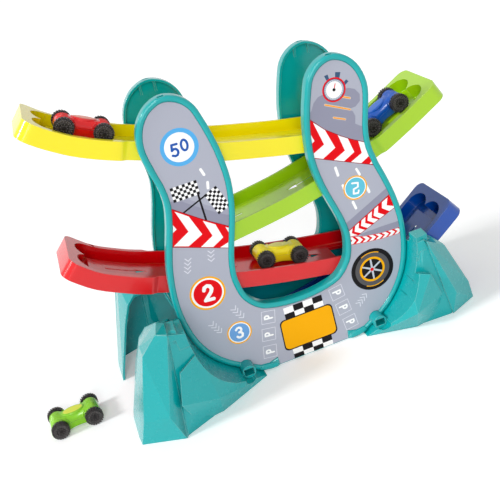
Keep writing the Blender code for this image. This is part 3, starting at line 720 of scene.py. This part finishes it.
RUBBER = plastic("wheel_rubber_skin", "#1D1819", "#B0AAA8", 0.4, 0.2, 1400.0, 0.00025, 1.0, 0.0, shine=0.2)
# Lighter grey studs: painted glints that stand for specks of light on the dark tyres.
GLINT_STUD = plastic("wheel_stud_painted_glint_skin", "#6E6866", "#D8D4D0", 0.2, 0.1, 1400.0, 0.0001, 0.6, 0.5)
STEEL = plastic("axle_steel_skin", "#B8B9BE", "#E6E6EA", 0.25, 0.05, 1500.0, 0.0002, 0.2)
STEEL.node_tree.nodes["Principled BSDF"].inputs["Metallic"].default_value = 1.0

INKS = {"grey": "#AEB1BF", "dark": "#9293A6", "shade": "#A0A2B3", "faint": "#DCDDE6", "pale": "#D8CFC4",
        "red": "#E30412", "maroon": "#8E1420", "white": "#FAFAFA", "black": "#161316", "amber": "#F7AE00",
        "orange": "#F7A01C", "sky": "#57AEE8", "blue": "#2358AE", "aqua": "#62C2DA", "lake": "#6FA3DC",
        "navy": "#3C5676", "silver": "#C3C8D2", "tyre": "#565457"}
INK_NAMES = list(INKS)
INK_MATS = [ink(name + "_ink", code) for name, code in INKS.items()]


# Printed figures: flat outlines in panel coordinates, later ones cover earlier ones

GLYPHS = {
    "0": [(0.5 + 0.34 * math.sin(2 * math.pi * k / 24), 0.5 + 0.42 * math.cos(2 * math.pi * k / 24))
          for k in range(24)],
    "5": [(0.8, 0.92), (0.27, 0.92), (0.2, 0.5), (0.42, 0.6), (0.62, 0.58), (0.78, 0.44), (0.8, 0.28),
          (0.68, 0.12), (0.45, 0.06), (0.18, 0.14)],
    "2": [(0.2, 0.7), (0.26, 0.86), (0.48, 0.94), (0.7, 0.88), (0.8, 0.7), (0.72, 0.52), (0.2, 0.08),
          (0.84, 0.08)],
    "3": [(0.2, 0.8), (0.36, 0.92), (0.56, 0.94), (0.74, 0.86), (0.78, 0.7), (0.68, 0.56), (0.46, 0.52),
          (0.7, 0.46), (0.82, 0.3), (0.72, 0.12), (0.5, 0.05), (0.3, 0.08), (0.16, 0.2)],
    "P": [(0.26, 0.05), (0.26, 0.93), (0.6, 0.93), (0.78, 0.82), (0.8, 0.66), (0.7, 0.5), (0.5, 0.45),
          (0.26, 0.45)]}


class Print:
    """The figures of one sheet; flip is 1 in front and -1 at the back, where numbers and letters turn."""

    def __init__(self, flip):
        self.faces = []
        self.flip = flip

    def poly(self, points, colour):
        self.faces.append(([tuple(p) for p in points], colour))

    def disc(self, x, z, r, colour, sides=48):
        self.poly(circle(sides, r, x, z), colour)

    def target(self, x, z, sides, *discs):
        """Discs on one middle, given as radius and colour, the widest first."""
        for r, colour in discs:
            self.disc(x, z, r, colour, sides)

    def line(self, points, width, colour, loop=False, round_ends=False):
        pts = [Vector(p) for p in points]
        for a, b in list(zip(pts, pts[1:])) + ([(pts[-1], pts[0])] if loop else []):
            d = (b - a).normalized()
            n = Vector((-d.y, d.x)) * width / 2.0
            self.poly([a - n, b - n, b + n, a + n], colour)
        for p in pts if (loop or round_ends) else pts[1:-1]:
            self.disc(p.x, p.y, width / 2.0, colour, 20)

    def glyph(self, mark, x, z, height, width, colour, turn=0.0):
        """A plain figure drawn with a pen of the given width."""
        c, s = math.cos(math.radians(turn)), math.sin(math.radians(turn))
        pts = []
        for u, v in GLYPHS[mark]:
            px, pz = (u - 0.5) * height * 0.72 * self.flip, (v - 0.5) * height
            pts.append((x + px * c - pz * s, z + px * s + pz * c))
        self.line(pts, width, colour, loop=mark == "0", round_ends=True)

    def frame_box(self, x, z, side, width, colour, turn):
        c, s = math.cos(math.radians(turn)), math.sin(math.radians(turn))
        pts = [(x + (u * c - v * s) * side / 2, z + (u * s + v * c) * side / 2)
               for u, v in ((-1, -1), (1, -1), (1, 1), (-1, 1))]
        self.line(pts, width, colour, loop=True)

    def chequers(self, corner, along, across, columns, rows):
        o, e, f = Vector(corner), Vector(along), Vector(across)
        for i in range(columns):
            for j in range(rows):
                a = o + e * (i / columns) + f * (j / rows)
                u, v = e / columns, f / rows
                self.poly([a, a + u, a + u + v, a + v], "white" if (i + j) % 2 else "black")


def left_flags(p):
    """Speed sign, lane, dashes and two chequered flags on the left arm."""
    p.disc(-78.9, 268.0, 18.4, "sky", 64)
    p.disc(-79.1, 268.0, 14.3, "white", 64)
    p.glyph("5", -79.4 - 4.4 * p.flip, 266.6, 13.0, 2.3, "blue", turn=-3.0 * p.flip)
    p.glyph("0", -79.4 + 5.4 * p.flip, 268.6, 12.2, 2.3, "blue", turn=-3.0 * p.flip)
    p.poly([(-100, 219), (-92, 216.5), (-79, 206), (-60, 192), (-46, 184), (-46, 168), (-120, 222)], "dark")
    p.poly([(-92, 216.5), (-79, 206), (-60, 192), (-46, 184), (-46, 190), (-58, 196), (-76, 209), (-86, 217)],
           "shade")
    for a, b in (((-65.6, 240.6), (-63.8, 234.6)), ((-62.5, 226.2), (-63.6, 220.4))):
        p.line([a, b], 2.8, "white", round_ends=True)
    p.line([(-74.6, 220.0), (-74.0, 189.0)], 2.0, "black")
    p.line([(-95.0, 203.6), (-67.0, 214.6)], 1.7, "black")
    p.chequers((-99.1, 217.2), (26.6, 0.0), (0.0, 15.0), 9, 5)
    p.chequers((-69.3, 214.8), (8.9, -24.0), (13.4, 5.4), 9, 5)


def left_barrier(p):
    """Chevron barrier across the left arm."""
    p.poly([(-112, 219), (-102, 211), (-76, 190.4), (-44, 168), (-44, 147), (-59, 152.5), (-130, 180.5)],
           "red")
    for shape in ([(-107.0, 197.5), (-104.2, 190.3), (-112.0, 186.5)],
                  [(-101.0, 208.6), (-89.3, 199.0), (-81.6, 176.6), (-97.6, 169.2), (-111.6, 174.4),
                   (-93.7, 184.0)],
                  [(-77.3, 190.0), (-66.5, 182.0), (-62.6, 166.0), (-74.8, 159.6), (-86.4, 164.0),
                   (-72.2, 171.4)],
                  [(-57.6, 175.8), (-46.0, 168.0), (-46.0, 156.0), (-54.6, 160.2), (-68.4, 156.6),
                   (-55.4, 151.0), (-46.0, 158.0), (-55.6, 168.0)]):
        p.poly(shape, "white")
    p.line([(-112, 219), (-102, 211.2), (-76, 190.6), (-44, 168.4)], 0.7, "maroon")
    p.line([(-44, 146.8), (-59, 152.6), (-130, 180.6)], 0.7, "maroon")


def numbered_signs(p):
    """Two numbered signs low on the left, and the faint arrows."""
    p.target(-93.3, 112.9, 64, (18.8, "amber"), (16.8, "white"))
    p.disc(-93.1, 113.0, 14.9, "red", 64)
    p.glyph("2", -92.6, 113.0, 18.6, 3.9, "white", turn=-6.0 * p.flip)
    p.target(-73.4, 56.2, 56, (13.4, "amber"), (11.9, "white"), (10.8, "lake"))
    p.glyph("3", -73.4, 56.3, 13.4, 2.5, "white")
    for tips, left, right in (
            (((-102.5, 154.0), (-104.0, 150.0), (-105.3, 145.7), (-106.5, 141.5)), (-2.8, 3.9), (4.0, 2.4)),
            (((-78.5, 154.0), (-79.8, 149.8), (-80.6, 145.5)), (-2.7, 3.8), (4.0, 2.2)),
            (((-71.0, 83.6), (-69.6, 79.8), (-67.4, 75.6), (-65.0, 71.6)), (-5.0, 1.9), (1.6, 5.0)),
            (((-97.8, 75.2), (-95.6, 71.6), (-93.6, 67.6), (-91.6, 64.0)), (-4.8, 1.9), (1.6, 5.0)),
            (((61.6, 38.6), (64.4, 41.0), (67.4, 43.4), (70.4, 46.2)), (-5.2, 0.9), (-0.5, -5.0))):
        for x, z in tips:
            p.line([(x + left[0], z + left[1]), (x, z), (x + right[0], z + right[1])], 0.9, "faint")


def finish_board(p):
    """Parking bays, chequered strips and the plain board in the middle."""
    for boxes, side in ((((-39.8, 61.5, -11.0), (-43.9, 41.4, -10.0), (-47.4, 20.8, -9.0)), 1.0),
                        (((38.6, 60.4, 8.0), (42.4, 40.4, 8.0), (46.6, 19.8, 8.0)), -1.0)):
        for x, z, turn in boxes:
            p.frame_box(x, z, 14.6, 0.6, "faint", turn)
            p.glyph("P", x, z, 9.4, 1.9, "white", turn=side * 90.0 + turn * 0.6)
    p.chequers((-22.3, 50.0), (43.8, 0.0), (0.0, 15.0), 4, 2)
    p.chequers((-23.2, -2.0), (45.6, 0.0), (0.0, 17.0), 4, 2)
    board = []
    for cx, cz, a0 in ((24.6, 45.8, 0), (-24.6, 45.8, 90), (-25.4, 18.4, 180), (25.0, 18.4, 270)):
        board += [(cx + 5.6 * math.cos(math.radians(a0 + a)), cz + 5.6 * math.sin(math.radians(a0 + a)))
                  for a in range(0, 91, 15)]
    p.poly(board, "black")
    p.poly([(x * 0.955 - 0.02, (z - 32.0) * 0.925 + 32.0) for x, z in board], "amber")


def printed_wheel(p):
    """Tyre and spoked rim on the right."""
    p.disc(82.6, 72.4, 24.2, "black", 72)
    p.disc(82.6, 72.4, 19.6, "tyre", 64)
    for a0 in (60, 240):
        p.line([(82.6 + 19.9 * math.cos(math.radians(a)), 72.4 + 19.9 * math.sin(math.radians(a)))
                for a in range(a0, a0 + 61, 6)], 1.0, "amber")
    p.disc(82.4, 72.6, 14.4, "amber", 56)
    p.disc(82.4, 72.6, 11.9, "black", 48)
    c = Vector((82.4, 72.6))
    for k in range(6):
        a = math.radians(60.0 * k + 90.0)
        d, n = Vector((math.cos(a), math.sin(a))), Vector((-math.sin(a), math.cos(a)))
        p.poly([c - n * 1.2, c + d * 11.9 - n * 0.9, c + d * 11.9 + n * 0.9, c + n * 1.2], "silver")
    p.disc(82.2, 72.4, 2.0, "red", 24)


def barrier_point(x, share):
    """Point on the lower barrier, which narrows to the right, at a share of its height."""
    if x < 80:
        top, low = 118.2 - (x - 66.0) * 0.33, 110.0 - (x - 58.0) * 0.18
    elif x < 100:
        top, low = 113.6 - (x - 80.0) * 0.17, 106.0 - (x - 80.0) * 0.135
    else:
        top, low = 110.2 - (x - 100) * 0.05, 103.3 - (x - 100) * 0.06
    return (x, low + (top - low) * share)


def right_barriers(p):
    """Two barriers and their lanes on the right arm."""
    p.poly([(58, 131.8), (62, 133.6), (124, 162.0), (124, 152.4), (64, 124.8), (58, 122.0)], "dark")
    p.poly([(58, 122.0), (64.5, 125.1), (115.5, 149.1), (126, 154.0), (126, 130.5), (119, 133.0),
            (74.0, 116.6), (58, 119.6)], "red")
    for shape in ([(106.5, 143.6), (113.4, 146.8), (111.0, 138.5), (121.0, 133.9), (112.9, 131.1),
                   (105.4, 137.2)],
                  [(97.3, 139.4), (101.9, 141.5), (100.1, 133.8), (106.9, 129.0), (101.2, 126.9),
                   (95.0, 132.3)],
                  [(89.3, 135.6), (94.0, 137.8), (92.4, 130.6), (99.3, 126.2), (94.0, 124.2), (87.4, 129.2)],
                  [(81.2, 131.8), (85.9, 134.0), (84.4, 127.4), (91.0, 123.2), (86.0, 121.2), (79.4, 126.0)],
                  [(73.2, 128.1), (77.9, 130.3), (76.4, 124.4), (82.6, 120.2), (77.6, 118.3), (71.4, 122.2)],
                  [(62.0, 122.9), (70.0, 126.6), (68.0, 121.6), (73.6, 117.4), (62.0, 118.8)]):
        p.poly(shape, "white")
    for a, b in (((58, 122.0), (126, 154.2)), ((74, 116.5), (126, 135.4))):
        p.line([a, b], 0.5, "maroon")
    p.poly([(76, 117.2), (100, 117.4), (126, 116.6), (126, 108.6), (100, 109.6), (80, 113.2)], "dark")
    p.poly([(58, 119.6), (66, 118.2), (80, 113.6), (100, 110.2), (126, 109.0), (126, 101.8), (100, 103.3),
            (80, 106.0), (58, 110.0)], "red")
    for k in range(8):
        x = 63.6 + 7.5 * k - 0.03 * k * k
        p.poly([barrier_point(x + u, share)
                for u, share in ((0.0, 0.94), (4.1, 0.94), (7.6, 0.5), (3.4, 0.06), (-0.8, 0.06),
                                 (3.4, 0.5))], "white")


def bend_sign(p):
    """Lane dashes and a round sign with a bent line."""
    for a, b, w in (((65.0, 197.0), (66.1, 188.4), 2.9), ((86.2, 188.4), (88.6, 181.6), 2.5),
                    ((68.8, 176.4), (69.6, 172.0), 2.6), ((93.2, 167.0), (95.0, 159.8), 2.9),
                    ((75.9, 155.0), (77.8, 147.2), 2.8)):
        p.line([a, b], w, "white", round_ends=True)
    p.target(81.3, 169.3, 56, (13.0, "amber"), (11.6, "white"), (10.7, "aqua"))
    figure = [(78.8, 175.0), (85.0, 173.6), (84.2, 169.3), (79.4, 168.3), (78.4, 163.5), (83.4, 162.7),
              (84.4, 165.2)]
    p.line([(81.3 + (x - 81.3) * p.flip, z) for x, z in figure], 1.9, "white", round_ends=True)


def upper_barrier(p):
    """Smoke, barrier and speed lines high on the right arm."""
    p.poly([(46, 256), (53, 261), (56.5, 267.5), (62, 272), (70, 273.4), (94, 271.4), (100, 268.4),
            (104, 262), (103, 255.4), (97.5, 251.2), (90, 250.8), (94, 247.4), (95.6, 242), (94, 234.6),
            (98, 231.4), (106, 227), (106, 208), (88, 219), (62, 238)], "dark")
    p.poly([(40, 262.0), (49.5, 253.0), (62, 238.8), (77, 227.0), (88, 219.6), (99.5, 213.2), (112, 206.6),
            (112, 184.6), (104, 187.2), (46, 214.0), (36, 218.6)], "red")
    for shape in ([(47.0, 240.0), (49.6, 231.0), (42.0, 226.5)],
                  [(52.0, 249.4), (61.8, 239.6), (69.0, 217.4), (54.5, 210.4), (45.5, 214.6), (40.0, 216.0),
                   (58.5, 224.4)],
                  [(74.0, 229.6), (83.4, 222.8), (87.4, 206.6), (75.0, 200.6), (64.8, 205.2), (78.2, 211.3)],
                  [(93.7, 216.3), (112.0, 206.8), (104.0, 200.0), (101.4, 197.2), (92.5, 192.8),
                   (82.0, 197.4), (95.0, 203.0)],
                  [(104.0, 191.4), (101.0, 189.0), (112.0, 184.8)]):
        p.poly(shape, "white")
    p.line([(40, 262.0), (49.5, 253.2), (62, 239.0), (77, 227.2), (88, 219.8), (99.5, 213.4), (112, 206.8)],
           0.7, "maroon")
    p.line([(36, 218.4), (46, 213.8), (104, 187.0), (112, 184.4)], 0.7, "maroon")
    for a, b in (((67.6, 262.4), (91.4, 250.2)), ((86.6, 264.6), (93.4, 261.2)),
                 ((73.6, 247.4), (84.6, 242.2))):
        p.line([a, b], 2.2, "pale", round_ends=True)
        p.line([a, b], 1.3, "orange", round_ends=True)


def stopwatch(p):
    """Stopwatch at the top of the right arm."""
    for shape in ([(82.4, 284.0), (83.8, 290.2), (89.0, 288.6), (86.6, 282.8)],
                  [(72.2, 289.8), (76.0, 290.2), (76.8, 284.6), (73.8, 284.4)],
                  [(88.6, 276.8), (93.2, 280.2), (95.2, 277.6), (91.2, 275.0)]):
        p.poly(shape, "navy")
    p.target(79.3, 274.0, 56, (12.0, "red"), (10.5, "navy"), (9.8, "silver"))
    middle = Vector((79.3, 274.0))
    for a in range(0, 360, 12):
        d = Vector((math.cos(math.radians(a)), math.sin(math.radians(a))))
        p.line([middle + d * 8.4, middle + d * 9.4], 0.35, "navy")
    p.disc(79.3, 274.0, 8.1, "white", 48)
    p.line([(79.3, 274.0), (81.7, 279.6)], 1.0, "red")
    p.disc(79.3, 274.0, 1.6, "black", 24)


def racing_print(mirror):
    """Everything printed on one side panel, the lowest layer first."""
    p = Print(mirror)
    for part in (left_flags, left_barrier, numbered_signs, finish_board, printed_wheel, right_barriers,
                 bend_sign, upper_barrier, stopwatch):
        part(p)
    return p.faces


def in_loop(x, z, loop):
    odd = False
    for (x0, z0), (x1, z1) in zip(loop, loop[1:] + loop[:1]):
        if (z0 > z) != (z1 > z) and x < (x1 - x0) * (z - z0) / (z1 - z0) + x0:
            odd = not odd
    return odd


def printed_sheet(name, mirror):
    """The sheet cut into one flat, gapless patchwork of inks, with a real thickness."""
    field = inset(OUTLINE, [RIM_WIDE * s + CLEAR for s in RIM_SHARE])
    layers = [(field, "grey")] + racing_print(mirror)
    layers += [(circle(40, BOSS_R + CLEAR, x, CLIP_Z), "") for x in CLIPS]
    verts, edges = [], []
    for points, _ in layers:
        n, base = len(points), len(verts)
        edges += [(base + k, base + (k + 1) % n) for k in range(n)]
        verts += [Vector(q) for q in points]
    out_v, _, out_f = delaunay_2d_cdt(verts, edges, [], 0, 0.0005)[:3]
    spans = [(min(x for x, _ in q), max(x for x, _ in q), min(z for _, z in q), max(z for _, z in q))
             for q, _ in layers]

    def ink_at(x, z):
        for (points, colour), (x0, x1, z0, z1) in zip(reversed(layers), reversed(spans)):
            if x0 < x < x1 and z0 < z < z1 and in_loop(x, z, points):
                return colour
        return ""

    bm = bmesh.new()
    y = behind(PLATE_SINK - CLEAR - SHEET_THICK, mirror)
    made = [bm.verts.new((v.x, y, v.y)) for v in out_v]
    for tri in out_f:
        x, z = (sum(out_v[k][axis] for k in tri) / 3.0 for axis in (0, 1))
        colour = ink_at(x, z)
        if colour and in_loop(x, z, field):
            bm.faces.new([made[k] for k in tri]).material_index = INK_NAMES.index(colour)
    bmesh.ops.delete(bm, geom=[v for v in bm.verts if not v.link_faces], context="VERTS")
    deep = bmesh.ops.extrude_face_region(bm, geom=list(bm.faces))["geom"]
    bmesh.ops.translate(bm, vec=(0, mirror * SHEET_THICK, 0),
                        verts=[v for v in deep if isinstance(v, bmesh.types.BMVert)])
    obj = drawn(name, bm)
    for mat in INK_MATS:
        painted(obj, mat)
    return obj


# Wheels

def xyz(tree, x=0.0, y=0.0, z=0.0):
    return add_node(tree, "ShaderNodeCombineXYZ", {0: x, 1: y, 2: z}).outputs[0]


def tread_tree():
    """Rows of rubber lugs round a rim: a ring of points for each row, one lug on each point."""
    tree, given, out = group(
        "tread_lugs", "GeometryNodeTree",
        (("Geometry", "Geometry", None), ("Lugs in a row", "Int", 22),
         ("Ring radius", "Float", (WHEEL_R - 0.55) * MM), ("Row offset", "Float", 1.6 * MM),
         ("Lug length", "Float", 1.4 * MM), ("Lug width", "Float", 3.0 * MM),
         ("Lug height", "Float", 1.2 * MM), ("Slant", "Float", 0.35), ("Rubber", "Material", RUBBER)),
        (("Geometry", "Geometry"),))
    size = xyz(tree, given["Lug height"], given["Lug width"], given["Lug length"])
    lug = add_node(tree, "GeometryNodeMeshCube", {"Size": size}).outputs["Mesh"]
    gather = tree.nodes.new("GeometryNodeJoinGeometry")
    for sign, stagger in ((-1.0, 0.0), (1.0, math.pi / 26.0)):
        ring = add_node(tree, "GeometryNodeMeshCircle", {
            "Vertices": given["Lugs in a row"], "Radius": given["Ring radius"]}).outputs[0]
        shift = xyz(tree, y=math_node(tree, "MULTIPLY", given["Row offset"], sign))
        points = add_node(tree, "GeometryNodeTransform", {
            "Geometry": ring, "Translation": shift, "Rotation": (math.pi / 2.0, stagger, 0.0)}).outputs[0]
        spot = tree.nodes.new("GeometryNodeInputPosition").outputs[0]
        split = add_node(tree, "ShaderNodeSeparateXYZ", {0: spot}).outputs
        angle = math_node(tree, "MULTIPLY", math_node(tree, "ARCTAN2", split[2], split[0]), -1.0)
        turn = xyz(tree, math_node(tree, "MULTIPLY", given["Slant"], sign), angle)
        feed(tree, gather, {0: add_node(tree, "GeometryNodeInstanceOnPoints", {
            "Points": points, "Instance": lug, "Rotation": turn}).outputs[0]})
    real = add_node(tree, "GeometryNodeRealizeInstances", {0: gather.outputs[0]}).outputs[0]
    paint = add_node(tree, "GeometryNodeSetMaterial", {"Geometry": real, "Material": given["Rubber"]})
    feed(tree, out, {0: paint.outputs[0]})
    return tree


def tread(name):
    """One wheel's lugs as a plain mesh about the origin's Y axis, in metres."""
    carrier = placed(name, bpy.data.meshes.new(name))
    carrier.modifiers.new("Lugs", "NODES").node_group = tread_tree()
    mesh = baked(carrier)
    bpy.data.objects.remove(carrier)
    return mesh


LUGS = tread("tread_lugs")


def wheel(name, place, x, side):
    """Tyre with lugs, a raised shoulder ring and a hub with embossed studs, the studs in a lighter grey as
    painted glints.
    """
    half, inner = CAR_WIDE / 2.0, CAR_WIDE / 2.0 - WHEEL_WIDE
    r, out = WHEEL_R - 0.8, half - 0.35
    profile = [(AXLE_R + CLEAR, half - 1.6), (AXLE_R + CLEAR, inner), (r - 1.6, inner),
               (r - 0.5, inner + 0.35), (r, inner + 1.1), (r, out - 1.2), (r - 0.35, out - 0.5),
               (r - 1.0, out - 0.15), (r - 1.9, out), (r - 2.3, out - 0.05), (r - 2.5, out - 0.5),
               (r - 3.0, out - 0.6), (r - 3.3, out - 0.25), (r - 3.8, out - 0.2), (r - 4.1, out - 0.7),
               (2.4, out - 0.8), (2.1, out - 0.2), (1.2, out - 0.1)]
    hub = Matrix.Translation((x, 0, 0))
    tyre = smooth(drawn(name + "_tyre", lathe(profile, 48, side), place @ hub), 40.0)
    lugs = placed(name + "_lugs", LUGS.copy())
    middle = side * (half + inner - 0.2) / 2.0
    lugs.data.transform(SET @ place @ Matrix.Translation((x, middle, 0)) @ Matrix.Scale(1.0 / MM, 4))
    studs = bmesh.new()
    for count, ring, deep in ((24, r - 1.55, 0.12), (14, r - 3.1, 0.42), (8, 3.3, 0.72)):
        for u, v in circle(count, ring):
            bmesh.ops.create_uvsphere(studs, u_segments=8, v_segments=6, radius=STUD_R,
                                      matrix=Matrix.Translation((u, side * (out - deep), v)))
    # The studs are lighter than the rubber: painted glints.
    dots = smooth(drawn(name + "_studs", studs, place @ hub), 60.0)
    return join(name, [painted(tyre, RUBBER), lugs, painted(dots, GLINT_STUD)])


# Car bodies

MARKS = {"red": "#EF6B3A", "green": "#DDE73C", "yellow": "#FBE95A", "blue": "#1B63C4"}
# Cross-section of a body, in shares of its half width and of its height at a station
BODY_RING = ((-1, 0.42), (-1, -0.8), (-0.93, -0.94), (-0.8, -1), (0.8, -1), (0.93, -0.94), (1, -0.8),
             (1, 0.42), (0.96, 0.58), (0.66, 0.96), (0.54, 1.0), (-0.54, 1.0), (-0.66, 0.96), (-0.96, 0.58))


def car_relief(prefix, place, skin, base, body_half):
    """Ribs over the hoods and a ridge round each fender."""
    lines = []
    for end in (-1.0, 1.0):
        hood = [(end * (base + u), v)
                for u, v in ((-3.6, 8.8), (-0.6, 9.2), (2.4, 9.05), (5.0, 7.4), (6.6, 5.6))]
        lines += [[(x, y, z) for x, z in hood] for y in (-4.6, -1.6, 1.6, 4.6)]
        for side in (-1.0, 1.0):
            lines.append([(end * (base - RIDGE_R * math.cos(math.radians(a))), side * (body_half * 0.9 - 0.1),
                           RIDGE_R * math.sin(math.radians(a))) for a in range(2, 50, 6)])
    ribs = bmesh.new()
    for pts in lines:
        for a, b in zip(pts, pts[1:]):
            rib = mesh_of("rib", cylinder(HOOD_RIB_R, a, b, 8))
            ribs.from_mesh(rib)
            bpy.data.meshes.remove(rib)
    return painted(smooth(drawn(prefix + "_ribs", ribs, place), 60.0), skin)


def car_shells(prefix, place, skin, mark):
    """Upper and lower body half with fender drums, cockpit blister, hood ribs and a painted oval."""
    base = WHEEL_BASE / 2.0
    body_half = CAR_WIDE / 2.0 - WHEEL_WIDE - 0.5
    run = catmull([(-base - 8.6, 0.9, 0.58), (-base - 7.0, 5.4, 0.78), (-base - 2.6, 9.0, 0.87),
                   (-base + 3.8, 8.8, 0.9), (0.0, 7.6, 0.84), (base - 3.8, 8.8, 0.9), (base + 2.6, 9.0, 0.87),
                   (base + 7.0, 5.4, 0.78), (base + 8.6, 0.9, 0.58)], 5)
    oval = circle(40)
    halves = []
    for part, keep in (("upper", 1.0), ("lower", -1.0)):
        rings = [[(x, a * (w * body_half), b * z) for a, b in BODY_RING] for x, z, w in run]
        obj = drawn("%s_%s" % (prefix, part), stack(rings), place)
        adds, cuts = [], []
        for x in (-base, base):
            drum = cylinder(DRUM_R, (x, -body_half, 0), (x, body_half, 0), 48)
            caps = [e for e in drum.edges if abs(e.verts[0].co.y - e.verts[1].co.y) < 0.1]
            bmesh.ops.bevel(drum, geom=caps, offset=0.9, segments=3, affect="EDGES", profile=0.5)
            adds.append(drum)
            cuts.append(cylinder(BORE_R, (x, -20.0, 0), (x, 20.0, 0), 20))
        adds.append(hull([(12.4 * a, 7.0 * b, z) for a, b in oval for z in (-7.6, 8.5)]
                         + [(12.0 * a, 6.6 * b, 9.1) for a, b in oval]
                         + [(11.0 * a, 5.8 * b, 9.4) for a, b in oval]))
        carve(obj, [drawn("add", bm, place) for bm in adds], "UNION")
        cuts.append(box_between(-50, 50, -20, 20, -30.0 * keep, 0.15 * keep))
        carve(obj, [drawn("cut", bm, place) for bm in cuts])
        halves.append(painted(smooth(obj, 30.0), skin))
    relief = car_relief(prefix, place, skin, base, body_half)
    patch = stack([[(10.6 * a, 5.3 * b, z) for a, b in oval] for z in (9.3, 9.48)])
    paint = painted(drawn(prefix + "_oval", patch, place), mark)
    return join(prefix + "_upper_body", [halves[0], relief, paint]), halves[1]


def car_place(prefix):
    """Frame of a car in millimetres, read from its two axles and the way it rolls."""
    def middle(node):
        lo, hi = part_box(node)
        return (lo + hi) / 2.0 / MM - Vector((STAND_X, 0, 0))
    front, rear = middle(prefix + "_front_axle"), middle(prefix + "_rear_axle")
    centre, ahead = (front + rear) / 2.0, (front - rear).normalized()
    up = Vector((0, 0, 1))
    left = up.cross(ahead).normalized()
    up = ahead.cross(left)
    return Matrix(((ahead.x, left.x, up.x, centre.x), (ahead.y, left.y, up.y, centre.y),
                   (ahead.z, left.z, up.z, centre.z), (0, 0, 0, 1)))


# Assembly

def dress(obj, body, node):
    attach(obj, body)
    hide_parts(node)


for label, mirror in FACES:
    shell = smooth(panel_shell(label + "_panel_shell", mirror), 34.0)
    dress(painted(shell, TEAL), "stand", label + "_panel")
    dress(printed_sheet(label + "_printed_sheet", mirror), "stand", label + "_decal")

for colour, points in LINES.items():
    neck, pins = NECKS[colour]
    ramp = smooth(track_shell(colour + "_ramp", Path(points, TRACK_STEP), neck, pins, colour == "blue"), 28.0)
    dress(painted(ramp, TRACK_SKINS[colour]), "stand", colour + "_track")

for label, mirror in FACES:
    for side in ("left", "right"):
        node = "%s_%s_foot" % (label, side)
        dress(painted(rock_foot(node + "_rock", node, side, mirror), ROCK), "stand", node)

for node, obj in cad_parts.items():
    if node.endswith("_axle"):
        for slot in obj.material_slots:
            slot.material = STEEL

for colour in CARS:
    prefix = colour + "_car"
    place = car_place(prefix)
    mark = plastic(colour + "_oval_paint", MARKS[colour], "#FFFFFF", 0.25, radius=0.0002, glint_and_wear=0.1)
    upper, lower = car_shells(prefix, place, CAR_SKINS[colour], mark)
    dress(upper, prefix + "_body", prefix + "_upper_shell")
    lower.name = prefix + "_lower_body"
    dress(lower, prefix + "_body", prefix + "_lower_shell")
    for end, x in (("front", WHEEL_BASE / 2.0), ("rear", -WHEEL_BASE / 2.0)):
        for side, y in (("right", -1.0), ("left", 1.0)):
            node = "%s_%s_%s_wheel" % (prefix, end, side)
            dress(wheel(node + "_dressed", place, x, y), "%s_%s_wheels" % (prefix, end), node)


# Studio

def seen_plainly(tree):
    """1 for camera, transmission and glossy rays, else 0."""
    rays = tree.nodes.new("ShaderNodeLightPath").outputs
    seen = math_node(tree, "MAXIMUM", rays["Is Camera Ray"], rays["Is Transmission Ray"])
    return math_node(tree, "MAXIMUM", seen, rays["Is Glossy Ray"])


def far_lamp(name, towards, strength, spread):
    data = bpy.data.lights.new(name, "SUN")
    data.energy = strength
    data.angle = math.radians(spread)
    placed(name, data).rotation_euler = (-Vector(towards)).to_track_quat("-Z", "Y").to_euler()


WHITE = (1.0, 1.0, 1.0, 1.0)
FLOOR_GLOW = 0.22          # what the floor adds for rays that show it, so that it renders white
SKY_LIGHT = 0.45           # strength of the world where it lights the set

grid = bmesh.new()
bmesh.ops.create_grid(grid, x_segments=8, y_segments=8, size=30.0)
floor = placed("studio_floor", mesh_of("studio_floor", grid))
floor_mat, tree, shader, place = new_material("pale_floor")
cloud = noise_node(tree, place, 3.0, 2.0)
feed(tree, shader, {"Base Color": mix_colour(tree, cloud, (0.93, 0.93, 0.935, 1.0), (0.97, 0.97, 0.97, 1.0)),
                    "Roughness": 0.9, "Specular IOR Level": 0.1, "Emission Color": WHITE,
                    "Emission Strength": math_node(tree, "MULTIPLY", seen_plainly(tree), FLOOR_GLOW)})
painted(floor, floor_mat)

world = bpy.data.worlds.new("pale_studio")
bpy.context.scene.world = world
world.use_nodes = True
tree = world.node_tree
lighting = feed(tree, tree.nodes["Background"], {"Color": WHITE, "Strength": SKY_LIGHT})
shown = add_node(tree, "ShaderNodeBackground", {"Color": WHITE, "Strength": 1.0})
blend = add_node(tree, "ShaderNodeMixShader", {0: seen_plainly(tree), 1: lighting.outputs[0],
                                               2: shown.outputs[0]})
feed(tree, tree.nodes["World Output"], {"Surface": blend.outputs[0]})

far_lamp("key", (-0.85, -0.1, 0.6), 1.9, 12.0)
far_lamp("front", (-0.25, -0.93, 0.2), 0.75, 25.0)
far_lamp("fill", (-0.16, -0.86, 0.5), 0.55, 12.0)

# Camera fitted to the photograph
PHOTO_PIXELS = 500.0
FOCAL_PIXELS = 816.8
SENSOR = 36.0
camera = placed("camera", bpy.data.cameras.new("camera"))
camera.data.lens = SENSOR * FOCAL_PIXELS / PHOTO_PIXELS
camera.data.sensor_width = SENSOR
camera.data.clip_start = 0.05
camera.data.clip_end = 20.0
right = (0.93014165, -0.28317472, -0.23377039)
up = (0.33167188, 0.37470005, 0.86579076)
look = (0.15757628, 0.8828431, -0.44244522)
eye = (-0.12134042, -0.7668188, 0.50549717)
camera.matrix_world = Matrix([(right[k], up[k], -look[k], eye[k]) for k in range(3)] + [(0.0, 0.0, 0.0, 1.0)])
bpy.context.scene.camera = camera
bpy.context.scene.view_settings.view_transform = "Standard"
